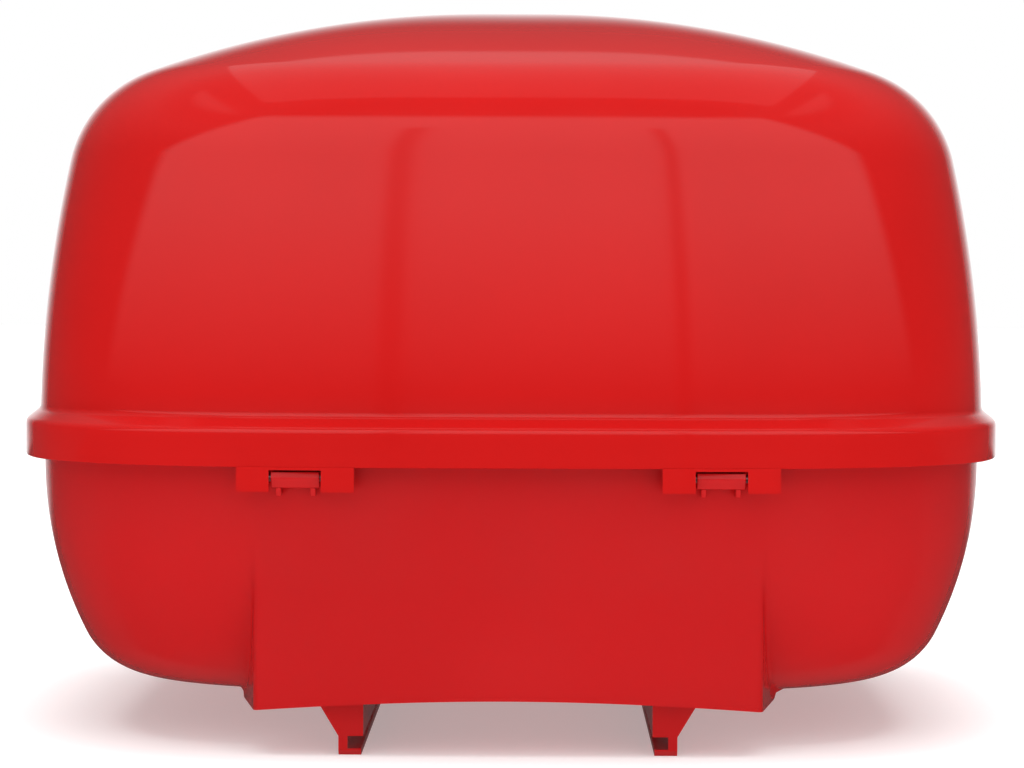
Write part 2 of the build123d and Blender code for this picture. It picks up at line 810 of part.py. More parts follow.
with BuildPart() as latch_lever:
    with BuildSketch(Plane.YZ.offset(-lever_half_width)):
        with BuildLine():
            Polyline(
                (plate_out, pivot_z - lever_pad),
                (plate_out, hook_top - hook_height / 2),
                (plate_out - lever_thickness / 3, hook_top),
                (plate_in - lever_thickness / 2, hook_top),
                (rear_y - hook_tip_inset, hook_bottom + hook_height / 3),
                (rear_y - hook_tip_inset, hook_bottom),
                (plate_in, hook_bottom),
                (plate_in, pivot_z + lever_core_top),
                (core_back, pivot_z + lever_core_top),
                (core_back, pivot_z - lever_core_bottom),
                (plate_in, pivot_z - lever_core_bottom),
                (plate_in, pivot_z - lever_pad),
                close=True,
            )
        make_face()
    extrude(amount=2 * lever_half_width)
    lower_edge = latch_lever.edges().filter_by(Axis.X).group_by(Axis.Z)[0].sort_by(Axis.Y)[-1]
    fillet(lower_edge, radius=lever_thickness / 2)
    bore = latch_pin_radius + running_clearance
    add(
        rod_x(bore, -2 * lever_half_width, 2 * lever_half_width, pivot_y, pivot_z),
        mode=Mode.SUBTRACT,
    )
    pocket = spring_pocket_half
    add(rod_x(spring_pocket_radius, -pocket, pocket, pivot_y, pivot_z), mode=Mode.SUBTRACT)
    add(
        box(
            (
                lock_x - cam_reach - cam_clearance,
                cam_back - cam_clearance,
                lock_z - cam_half_width - cam_clearance,
            ),
            (
                lever_half_width + wall,
                cam_front + cam_clearance,
                pivot_z + lever_core_top + wall,
            ),
        ),
        mode=Mode.SUBTRACT,
    )
latch_lever.part.label = "latch_lever"
export_step(latch_lever.part, "parts/latch_lever.step")

with BuildPart() as latch_pin:
    add(rod_x(latch_pin_radius, -latch_pin_end, latch_pin_end, pivot_y, pivot_z))
    chamfer(latch_pin.edges().filter_by(GeomType.CIRCLE), length=latch_pin_radius / 5)
latch_pin.part.label = "latch_pin"
export_step(latch_pin.part, "parts/latch_pin.step")


def coil(radius, wire, pitch, length, start, direction):
    """Return a helical spring of round wire that starts at a point and runs along a direction."""
    path = Helix(pitch, length, radius, center=start, direction=direction)
    with BuildPart() as body:
        with BuildSketch(Plane(origin=path @ 0, z_dir=path % 0)):
            Circle(wire)
        sweep(path=path)
    return body.part


with BuildPart() as latch_spring:
    half = spring_pocket_half - 2 * latch_spring_wire
    start = (-half, pivot_y, pivot_z)
    add(coil(latch_spring_radius, latch_spring_wire, latch_spring_pitch, 2 * half, start, (1, 0, 0)))
latch_spring.part.label = "latch_spring"
export_step(latch_spring.part, "parts/latch_spring.step")

# ---- lock -------------------------------------------------------------------------------
with BuildPart() as lock_body:
    add(rod_y(lock_body_radius, lock_body_back, housing_y, lock_x, lock_z))
    add(rod_y(lock_flange_radius, housing_y, housing_y + lock_flange_height, lock_x, lock_z))
    rear_rim = lock_body.faces().sort_by(Axis.Y)[-1].edges()
    chamfer(rear_rim, length=lock_flange_height / 3)
    bore = plug_radius + running_clearance
    add(rod_y(bore, lock_body_back, housing_y + 2 * wall, lock_x, lock_z), mode=Mode.SUBTRACT)
lock_body.part.label = "lock_body"
export_step(lock_body.part, "parts/lock_body.step")

plug_front = housing_y + lock_flange_height + plug_proud
with BuildPart() as lock_cylinder:
    add(rod_y(plug_radius, cam_front, plug_front, lock_x, lock_z))
    add(
        box(
            (lock_x - keyway_width / 2, plug_front - keyway_depth, lock_z - keyway_height / 2),
            (lock_x + keyway_width / 2, plug_front, lock_z + keyway_height / 2),
        ),
        mode=Mode.SUBTRACT,
    )
    screw_tip = cam_front + cam_screw_depth
    add(rod_y(cam_screw_radius, cam_front, screw_tip, lock_x, lock_z), mode=Mode.SUBTRACT)
lock_cylinder.part.label = "lock_cylinder"
export_step(lock_cylinder.part, "parts/lock_cylinder.step")

with BuildPart() as lock_cam:
    with BuildSketch(Plane.XZ.offset(-cam_front)):
        with Locations((lock_x, lock_z)):
            Circle(plug_radius - running_clearance)
        with Locations((lock_x, lock_z + (cam_reach - cam_half_width) / 2)):
            Rectangle(2 * cam_half_width, cam_reach - cam_half_width)
        with Locations((lock_x, lock_z + cam_reach - cam_half_width)):
            Circle(cam_half_width)
    extrude(amount=cam_thickness)
    add(rod_y(cam_screw_radius, cam_back, cam_front, lock_x, lock_z), mode=Mode.SUBTRACT)
lock_cam.part.label = "lock_cam"
export_step(lock_cam.part, "parts/lock_cam.step")

with BuildPart() as cam_screw:
    add(rod_y(cam_screw_radius, cam_back, screw_tip, lock_x, lock_z))
    add(rod_y(cam_head_radius, cam_back - cam_head_height, cam_back, lock_x, lock_z))
cam_screw.part.label = "cam_screw"
export_step(cam_screw.part, "parts/cam_screw.step")

# ---- carry handle, brackets, pins and screws --------------------------------------------
arm_in = handle_arm_x - handle_arm_width / 2
arm_out = handle_arm_x + handle_arm_width / 2
grip_low = handle_z - handle_reach

with BuildPart() as carry_handle:
    for side in sides.values():
        low = min(side * arm_in, side * arm_out)
        add(rod_x(handle_bar / 2, low, low + handle_arm_width, handle_pivot_y, handle_z))
        add(
            box(
                (low, handle_pivot_y - handle_bar / 2, grip_low),
                (low + handle_arm_width, handle_pivot_y + handle_bar / 2, handle_z),
            )
        )
    add(
        box(
            (-arm_out, handle_pivot_y - handle_bar / 2, grip_low),
            (arm_out, handle_pivot_y + handle_bar / 2, grip_low + grip_height),
        )
    )
    grip_edges = carry_handle.edges().filter_by(Axis.X).filter_by(
        lambda edge: edge.length > handle_arm_x
    )
    fillet(grip_edges, radius=handle_edge)
    for side in sides.values():
        low = min(side * arm_in, side * arm_out)
        bore = handle_pin_radius + running_clearance
        add(
            rod_x(bore, low, low + handle_arm_width, handle_pivot_y, handle_z),
            mode=Mode.SUBTRACT,
        )
carry_handle.part.label = "carry_handle"
export_step(carry_handle.part, "parts/carry_handle.step")

bracket_in = arm_out + handle_side_gap
pin_end = bracket_in + handle_pin_bite
for name, side in sides.items():
    low = min(side * bracket_in, side * (bracket_in + bracket_width))
    with BuildPart() as handle_bracket:
        add(
            box(
                (low, case_y + base_half_depth / 2, handle_z - bracket_height / 2),
                (low + bracket_width, bracket_y, handle_z + bracket_height / 2),
            )
        )
        rear_face = handle_bracket.faces().sort_by(Axis.Y)[-1]
        fillet(rear_face.edges(), radius=handle_edge)
        add(outer_body, mode=Mode.SUBTRACT)
        start = min(side * arm_in, side * pin_end)
        length = pin_end - arm_in
        add(
            rod_x(handle_pin_radius, start, start + length, handle_pivot_y, handle_z),
            mode=Mode.SUBTRACT,
        )
        add(wall_screws(handle_screw_places, bracket_y, fix_screw_radius), mode=Mode.SUBTRACT)
        add(wall_screw_heads(handle_screw_places, bracket_y), mode=Mode.SUBTRACT)
    handle_bracket.part.label = "handle_bracket_" + name
    export_step(handle_bracket.part, "parts/handle_bracket_" + name + ".step")

with BuildPart() as handle_pins:
    for side in sides.values():
        start = min(side * arm_in, side * pin_end)
        add(
            rod_x(handle_pin_radius, start, start + pin_end - arm_in, handle_pivot_y, handle_z)
        )
handle_pins.part.label = "handle_pins"
export_step(handle_pins.part, "parts/handle_pins.step")

with BuildPart() as handle_screws:
    add(wall_screws(handle_screw_places, bracket_y, fix_screw_radius))
    add(wall_screw_heads(handle_screw_places, bracket_y))
handle_screws.part.label = "handle_screws"
export_step(handle_screws.part, "parts/handle_screws.step")

# ---- release catch ----------------------------------------------------------------------
catch_slot = catch_half_width + catch_side_gap
catch_low = catch_z - catch_thickness / 2
catch_high = catch_z + catch_thickness / 2

with BuildPart() as catch_bracket:
    add(
        box(
            (-catch_block_half_width, catch_pivot_y - catch_block_length / 2, catch_block_bottom),
            (catch_block_half_width, catch_pivot_y + catch_block_length / 2, bowl_bottom + wall),
        )
    )
    add(
        box(
            (-catch_slot, catch_pivot_y - catch_block_length, catch_block_bottom),
            (catch_slot, catch_pivot_y + catch_block_length, bowl_bottom - wall / 2),
        ),
        mode=Mode.SUBTRACT,
    )
    add(outer_body, mode=Mode.SUBTRACT)
    catch_pin_end = catch_slot + (catch_screw_x - fix_screw_radius - catch_slot) / 2
    add(
        rod_x(catch_pin_radius, -catch_pin_end, catch_pin_end, catch_pivot_y, catch_z),
        mode=Mode.SUBTRACT,
    )
    add(
        rod_z(
            catch_spring_radius + 2 * catch_spring_wire,
            catch_high,
            bowl_bottom + wall,
            0,
            catch_pivot_y - catch_spring_ahead,
        ),
        mode=Mode.SUBTRACT,
    )
    for x, y in catch_screw_places:
        head_top = catch_block_bottom + fix_head_height
        add(rod_z(fix_head_radius, catch_block_bottom, head_top, x, y), mode=Mode.SUBTRACT)
        add(rod_z(fix_screw_radius, head_top, catch_screw_top, x, y), mode=Mode.SUBTRACT)
catch_bracket.part.label = "catch_bracket"
export_step(catch_bracket.part, "parts/catch_bracket.step")

with BuildPart() as catch_bracket_screws:
    for x, y in catch_screw_places:
        head_top = catch_block_bottom + fix_head_height
        add(rod_z(fix_head_radius, catch_block_bottom, head_top, x, y))
        add(rod_z(fix_screw_radius, head_top, catch_screw_top, x, y))
catch_bracket_screws.part.label = "catch_bracket_screws"
export_step(catch_bracket_screws.part, "parts/catch_bracket_screws.step")

with BuildPart() as catch_lever:
    nose_y = catch_pivot_y - catch_nose
    tail_y = catch_pivot_y + catch_tail
    with BuildSketch(Plane.YZ.offset(-catch_half_width)):
        with BuildLine():
            Polyline(
                (nose_y, catch_high),
                (nose_y, catch_low),
                (nose_y + catch_nose_width / 2, catch_low - catch_nose_drop),
                (nose_y + catch_nose_width, catch_low - catch_nose_drop),
                (nose_y + catch_nose_width, catch_low),
                (tail_y, catch_low),
                (tail_y, catch_high),
                close=True,
            )
        make_face()
    extrude(amount=2 * catch_half_width)
    tail_edges = catch_lever.faces().sort_by(Axis.Y)[-1].edges().filter_by(Axis.Z)
    fillet(tail_edges, radius=catch_half_width / 2)
    bore = catch_pin_radius + running_clearance
    add(
        rod_x(bore, -2 * catch_half_width, 2 * catch_half_width, catch_pivot_y, catch_z),
        mode=Mode.SUBTRACT,
    )
catch_lever.part.label = "catch_lever"
export_step(catch_lever.part, "parts/catch_lever.step")

with BuildPart() as catch_pin:
    add(rod_x(catch_pin_radius, -catch_pin_end, catch_pin_end, catch_pivot_y, catch_z))
catch_pin.part.label = "catch_pin"
export_step(catch_pin.part, "parts/catch_pin.step")

with BuildPart() as catch_spring:
    start_z = catch_high + spring_end_gap * catch_spring_wire
    length = arch_height - spring_end_gap * catch_spring_wire - start_z
    start = (0, catch_pivot_y - catch_spring_ahead, start_z)
    add(coil(catch_spring_radius, catch_spring_wire, catch_spring_pitch, length, start, (0, 0, 1)))
catch_spring.part.label = "catch_spring"
export_step(catch_spring.part, "parts/catch_spring.step")
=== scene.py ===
"""Looks of a red moulded motorcycle top case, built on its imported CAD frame.

The lid, the base, the hinge tabs and knuckles, the screw pads and the release catch's spring
are fine surfaces worked out with numpy from the case's own sizes. Every other piece is the
CAD node itself, in a procedural finish. All lengths are in metres, in the frame of the CAD
model: +Z up, -Y the hinge side.
"""

import logging
import math
from dataclasses import dataclass, field
from enum import Enum

import bpy
import numpy as np
from mathutils import Matrix, Vector


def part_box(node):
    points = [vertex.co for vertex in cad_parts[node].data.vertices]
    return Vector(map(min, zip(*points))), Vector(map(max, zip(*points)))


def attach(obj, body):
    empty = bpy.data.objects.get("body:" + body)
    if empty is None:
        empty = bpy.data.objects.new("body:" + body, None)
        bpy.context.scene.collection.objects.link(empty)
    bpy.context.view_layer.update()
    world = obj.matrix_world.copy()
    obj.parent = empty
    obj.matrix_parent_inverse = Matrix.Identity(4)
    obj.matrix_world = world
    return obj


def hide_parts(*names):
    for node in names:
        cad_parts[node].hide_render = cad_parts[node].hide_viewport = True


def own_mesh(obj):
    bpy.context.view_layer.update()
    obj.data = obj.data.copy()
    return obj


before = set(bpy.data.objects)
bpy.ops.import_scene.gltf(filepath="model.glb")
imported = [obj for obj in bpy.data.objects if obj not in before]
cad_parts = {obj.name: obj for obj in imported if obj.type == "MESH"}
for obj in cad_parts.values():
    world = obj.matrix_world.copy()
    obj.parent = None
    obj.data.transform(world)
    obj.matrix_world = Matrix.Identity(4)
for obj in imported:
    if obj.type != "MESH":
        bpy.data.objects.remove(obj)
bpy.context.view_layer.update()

MM = 0.001
LOG = logging.getLogger("top_case")

Piece = bpy.types.Object
Socket = bpy.types.NodeSocket
Tree = bpy.types.NodeTree


class Side(Enum):
    """The two mirror halves, with the sign of their x."""

    LEFT = -1
    RIGHT = 1


# ---- finishes ----
def new_material(name: str) -> tuple[bpy.types.Material, bpy.types.Node]:
    """Make an empty node material.

    Args:
        name: the material's name.

    Returns:
        The material and its Principled shader node.
    """
    material = bpy.data.materials.new(name)
    material.use_nodes = True
    nodes = material.node_tree.nodes
    shader = next(node for node in nodes if node.type == "BSDF_PRINCIPLED")
    return material, shader


def object_noise(tree: Tree, scale: float, detail: float) -> Socket:
    """Add a noise in Object coordinates.

    Args:
        tree: the node tree to add to.
        scale: features per metre.
        detail: octaves of finer noise.

    Returns:
        The noise value's socket, from 0 to 1.
    """
    place = tree.nodes.new("ShaderNodeTexCoord")
    noise = tree.nodes.new("ShaderNodeTexNoise")
    noise.inputs["Scale"].default_value = scale
    noise.inputs["Detail"].default_value = detail
    tree.links.new(place.outputs["Object"], noise.inputs["Vector"])
    return noise.outputs["Fac"]


def ramp(tree: Tree, value: Socket, low: tuple[float, ...], high: tuple[float, ...]) -> Socket:
    """Turn a value from 0 to 1 into a colour between two colours.

    Args:
        tree: the node tree to add to.
        value: the socket that drives the ramp.
        low: colour at and below 0.3.
        high: colour at and above 0.7.

    Returns:
        The colour's socket.
    """
    node = tree.nodes.new("ShaderNodeValToRGB")
    for stop, place, colour in zip(node.color_ramp.elements, (0.3, 0.7), (low, high)):
        stop.position = place
        stop.color = (*colour, 1.0)
    tree.links.new(value, node.inputs["Fac"])
    return node.outputs["Color"]


def spread(tree: Tree, value: Socket, low: float, high: float) -> Socket:
    """Stretch a value from 0..1 to low..high.

    Args:
        tree: the node tree to add to.
        value: the socket to stretch.
        low: result at 0.
        high: result at 1.

    Returns:
        The stretched value's socket.
    """
    node = tree.nodes.new("ShaderNodeMapRange")
    node.inputs["To Min"].default_value = low
    node.inputs["To Max"].default_value = high
    tree.links.new(value, node.inputs["Value"])
    return node.outputs["Result"]


def bump(tree: Tree, height: Socket, depth: float, shader: bpy.types.Node) -> None:
    """Roughen a shader's normal with a height.

    Args:
        tree: the node tree to add to.
        height: the height's socket, from 0 to 1.
        depth: the height of 1, in metres.
        shader: the Principled shader.
    """
    node = tree.nodes.new("ShaderNodeBump")
    node.inputs["Distance"].default_value = depth
    node.inputs["Strength"].default_value = 1.0
    tree.links.new(height, node.inputs["Height"])
    tree.links.new(node.outputs["Normal"], shader.inputs["Normal"])


@dataclass(frozen=True)
class MouldedPlastic:
    """Moulded plastic: flow shading, mottled gloss and a fine skin texture."""

    name: str
    colour: tuple[float, float, float]
    deep: tuple[float, float, float]
    gloss: tuple[float, float]
    skin_scale: float
    skin_depth: float
    specular: float = 0.5
    flow_scale: float = 9.0
    smear_scale: float = 26.0

    def material(self) -> bpy.types.Material:
        """Make the finish.

        Returns:
            The node material.
        """
        material, shader = new_material(self.name)
        tree = material.node_tree
        flow = object_noise(tree, self.flow_scale, 2.0)
        tree.links.new(ramp(tree, flow, self.deep, self.colour), shader.inputs["Base Color"])
        smear = object_noise(tree, self.smear_scale, 3.0)
        rough = spread(tree, smear, self.gloss[0], self.gloss[1])
        tree.links.new(rough, shader.inputs["Roughness"])
        shader.inputs["Specular IOR Level"].default_value = self.specular
        bump(tree, object_noise(tree, self.skin_scale, 2.0), self.skin_depth, shader)
        return material


@dataclass(frozen=True)
class PlatedMetal:
    """Plated or polished metal with brushed streaks along X and dull patches."""

    name: str
    bright: tuple[float, float, float]
    dull: tuple[float, float, float]
    gloss: tuple[float, float]
    streak_scale: float
    streak_stretch: float = 0.08
    streak_depth: float = 0.00002
    patch_scale: float = 220.0

    def material(self) -> bpy.types.Material:
        """Make the finish.

        Returns:
            The node material.
        """
        material, shader = new_material(self.name)
        tree = material.node_tree
        patch = object_noise(tree, self.patch_scale, 3.0)
        tree.links.new(ramp(tree, patch, self.dull, self.bright), shader.inputs["Base Color"])
        shader.inputs["Metallic"].default_value = 1.0
        place = tree.nodes.new("ShaderNodeTexCoord")
        stretch = tree.nodes.new("ShaderNodeMapping")
        stretch.inputs["Scale"].default_value = (self.streak_stretch, 1.0, 1.0)
        tree.links.new(place.outputs["Object"], stretch.inputs["Vector"])
        streak = tree.nodes.new("ShaderNodeTexNoise")
        streak.inputs["Scale"].default_value = self.streak_scale
        tree.links.new(stretch.outputs["Vector"], streak.inputs["Vector"])
        rough = spread(tree, streak.outputs["Fac"], self.gloss[0], self.gloss[1])
        tree.links.new(rough, shader.inputs["Roughness"])
        bump(tree, streak.outputs["Fac"], self.streak_depth, shader)
        return material


class Finish(Enum):
    """Every finish on the case."""

    LID = MouldedPlastic(
        "lid_gloss_red", (0.56, 0.0085, 0.0080), (0.52, 0.0076, 0.0070), (0.05, 0.09), 700.0, 0.000002
    )
    BASE = MouldedPlastic(
        "base_satin_red", (0.54, 0.0084, 0.0098), (0.50, 0.0076, 0.0088), (0.13, 0.21), 1500.0,
        0.000006, specular=0.38,
    )
    BLACK = MouldedPlastic(
        "black_grained", (0.022, 0.022, 0.024), (0.014, 0.014, 0.015), (0.42, 0.60), 2600.0, 0.000060
    )
    RUBBER = MouldedPlastic(
        "seal_rubber", (0.018, 0.018, 0.018), (0.010, 0.010, 0.010), (0.65, 0.85), 1800.0,
        0.000040, specular=0.3,
    )
    ZINC = PlatedMetal("zinc_plate", (0.74, 0.74, 0.70), (0.55, 0.55, 0.50), (0.22, 0.42), 900.0)
    SPRING = PlatedMetal("spring_wire", (0.50, 0.50, 0.52), (0.36, 0.36, 0.38), (0.25, 0.45), 700.0)
    CHROME = PlatedMetal("lock_chrome", (0.88, 0.88, 0.89), (0.74, 0.74, 0.76), (0.06, 0.20), 500.0)


class Wardrobe:
    """Makes each finish once and hands it out."""

    def __init__(self) -> None:
        """Start with no material made."""
        self._made: dict[Finish, bpy.types.Material] = {}

    def get(self, finish: Finish) -> bpy.types.Material:
        """Hand out a finish, made at its first use.

        Args:
            finish: the finish.

        Returns:
            Its material.
        """
        if finish not in self._made:
            self._made[finish] = finish.value.material()
        return self._made[finish]

    def dress(self, piece: Piece, finish: Finish) -> None:
        """Give a piece one finish all over, and report it.

        Args:
            piece: a new piece or a CAD node.
            finish: its finish.
        """
        if not piece.data.materials:
            piece.data.materials.append(None)
        for slot in piece.material_slots:
            slot.material = self.get(finish)
        LOG.info("%s: %s, %d faces", piece.name, finish.value.name, len(piece.data.polygons))


# ---- surfaces ----
def signed_volume(points: np.ndarray, triangles: np.ndarray) -> float:
    """Return a closed mesh's volume: a sixth of the sum of a . (b x c) over its triangles."""
    a, b, c = (points[triangles[:, corner]] for corner in range(3))
    return float(np.einsum("ij,ij->i", a, np.cross(b, c)).sum() / 6)


def make_piece(name: str, points: np.ndarray, faces: list[np.ndarray], sharp: float) -> Piece:
    """Put a closed surface into the scene with its faces pointing outwards.

    Args:
        name: the piece's name.
        points: vertices, one row each.
        faces: arrays of faces, each array with one number of corners.
        sharp: angle in degrees above which an edge is shaded sharp.

    Returns:
        The new object, at the origin.
    """
    fans = []
    for group in faces:
        for corner in range(1, group.shape[1] - 1):
            fans.append(group[:, [0, corner, corner + 1]])
    if signed_volume(points, np.concatenate(fans)) < 0:
        faces = [group[:, ::-1] for group in faces]
    mesh = bpy.data.meshes.new(name)
    mesh.from_pydata(points.tolist(), [], [face for group in faces for face in group.tolist()])
    mesh.validate()
    mesh.shade_smooth()
    mesh.set_sharp_from_angle(angle=math.radians(sharp))
    piece = bpy.data.objects.new(name, mesh)
    bpy.context.scene.collection.objects.link(piece)
    return piece


def wrap_faces(rows: int, columns: int) -> np.ndarray:
    """Join a grid's points into faces, with its columns closed round on themselves.

    Args:
        rows: number of rings.
        columns: points in each ring.

    Returns:
        (faces, 4) indices of corners, counted ring by ring.
    """
    row, column = np.meshgrid(np.arange(rows - 1), np.arange(columns), indexing="ij")
    beside = (column + 1) % columns
    corners = [
        row * columns + column,
        row * columns + beside,
        (row + 1) * columns + beside,
        (row + 1) * columns + column,
    ]
    return np.stack(corners, axis=-1).reshape(-1, 4)


def closed_revolve(name: str, grid: np.ndarray, sharp: float) -> Piece:
    """Make a closed piece from rings stacked between two poles.

    Args:
        name: the piece's name.
        grid: (rings, columns, 3) points; the first and last ring shrink to poles.
        sharp: angle in degrees above which an edge is shaded sharp.

    Returns:
        The new object.
    """
    rings, columns, _ = grid.shape
    poles = np.stack([grid[0].mean(axis=0), grid[-1].mean(axis=0)])
    points = np.concatenate([grid.reshape(-1, 3), poles])
    column = np.arange(columns)
    beside = (column + 1) % columns
    first = np.full(columns, rings * columns)
    last = first + 1
    start = (rings - 1) * columns
    fans = [
        np.stack([first, beside, column], axis=-1),
        np.stack([last, start + column, start + beside], axis=-1),
    ]
    return make_piece(name, points, [wrap_faces(rings, columns), *fans], sharp)


def slab(name: str, sections: np.ndarray, sharp: float = 30.0) -> Piece:
    """Make a closed piece from sections carried along a path and capped at both ends.

    Args:
        name: the piece's name.
        sections: (stations, corners, 3) points, each station a closed outline.
        sharp: angle in degrees above which an edge is shaded sharp.

    Returns:
        The new object.
    """
    stations, corners, _ = sections.shape
    ends = [np.arange(corners)[::-1], (stations - 1) * corners + np.arange(corners)]
    faces = [wrap_faces(stations, corners), np.stack(ends)]
    return make_piece(name, sections.reshape(-1, 3), faces, sharp)


def soften(piece: Piece, width: float, sharp: float = 40.0) -> None:
    """Round a piece's hard edges.

    Args:
        piece: the piece.
        width: how far from the edge the rounding starts.
        sharp: angle in degrees above which an edge is rounded.
    """
    bevel = piece.modifiers.new("edge_radius", "BEVEL")
    bevel.width = width
    bevel.segments = 3
    bevel.limit_method = "ANGLE"
    bevel.angle_limit = math.radians(sharp)
    bevel.harden_normals = True


def arc_walk(
    arcs: list[tuple[float, float, float, int]], inset: float
) -> tuple[np.ndarray, np.ndarray]:
    """Walk along tangent arcs, moved in by an inset.

    The travel across is the sum of radius * (cos start - cos angle), the rise is the sum of
    radius * (sin angle - sin start), and the inset moves each point along the arc's normal.

    Args:
        arcs: (radius, start, end, steps) of each arc, angles in degrees from the vertical.
        inset: distance from the outer face.

    Returns:
        Travel across and rise at each step, the start first.
    """
    across, up = [np.array([inset])], [np.array([0.0])]
    travel = rise = 0.0
    for radius, start, end, steps in arcs:
        angle = np.radians(np.linspace(start, end, steps + 1)[1:])
        first = math.radians(start)
        across.append(travel + radius * (math.cos(first) - np.cos(angle)) + inset * np.cos(angle))
        up.append(rise + radius * (np.sin(angle) - math.sin(first)) - inset * np.sin(angle))
        travel += radius * (math.cos(first) - math.cos(math.radians(end)))
        rise += radius * (math.sin(math.radians(end)) - math.sin(first))
    return np.concatenate(across), np.concatenate(up)


def smooth_max(a: np.ndarray, b: np.ndarray, blend: float) -> np.ndarray:
    """Return the larger of two values, with a parabola of width blend where they cross."""
    near = np.maximum(blend - np.abs(a - b), 0.0) / blend
    return np.maximum(a, b) + near * near * blend / 4


def smooth_step(value: np.ndarray) -> np.ndarray:
    """Return 0 below 0, 1 above 1 and a smooth cubic between."""
    share = np.clip(value, 0.0, 1.0)
    return share * share * (3 - 2 * share)


# ---- the case's shared sizes ----
@dataclass(frozen=True)
class CaseForm:
    """Sizes that lid and base share. Heights are from the floor."""

    power: float = 3.7
    rim_half_width: float = 200.0 * MM
    rim_half_depth: float = 196.6 * MM
    wall: float = 3.0 * MM
    bowl_bottom: float = 20.7 * MM
    bowl_top: float = 107.6 * MM
    rim_bottom: float = 111.2 * MM
    rim_top: float = 123.9 * MM
    dome_foot: float = 131.7 * MM
    wall_top: float = 118.5 * MM
    seal_roof: float = 121.5 * MM
    centre_y: float = -3.3 * MM
    hinge_x: float = 80.0 * MM
    hinge_y: float = -192.8 * MM
    hinge_z: float = 107.2 * MM

    def radius(
        self, turn: np.ndarray, half_width: np.ndarray, half_depth: np.ndarray
    ) -> np.ndarray:
        """Return the outline's distance from the middle in a direction.

        The outline is a superellipse: |x / half width|^power + |y / half depth|^power = 1.

        Args:
            turn: direction in radians from +X.
            half_width: the outline's half-width.
            half_depth: the outline's half-depth.

        Returns:
            The distance from the middle of the case.
        """
        across = np.abs(np.cos(turn) / half_width) ** self.power
        along = np.abs(np.sin(turn) / half_depth) ** self.power
        return (across + along) ** (-1 / self.power)

    def front(self, x: np.ndarray, half_width: float, half_depth: float) -> np.ndarray:
        """Return the outline's y on the hinge side at x."""
        share = 1 - np.abs(x / half_width) ** self.power
        return self.centre_y - half_depth * share ** (1 / self.power)


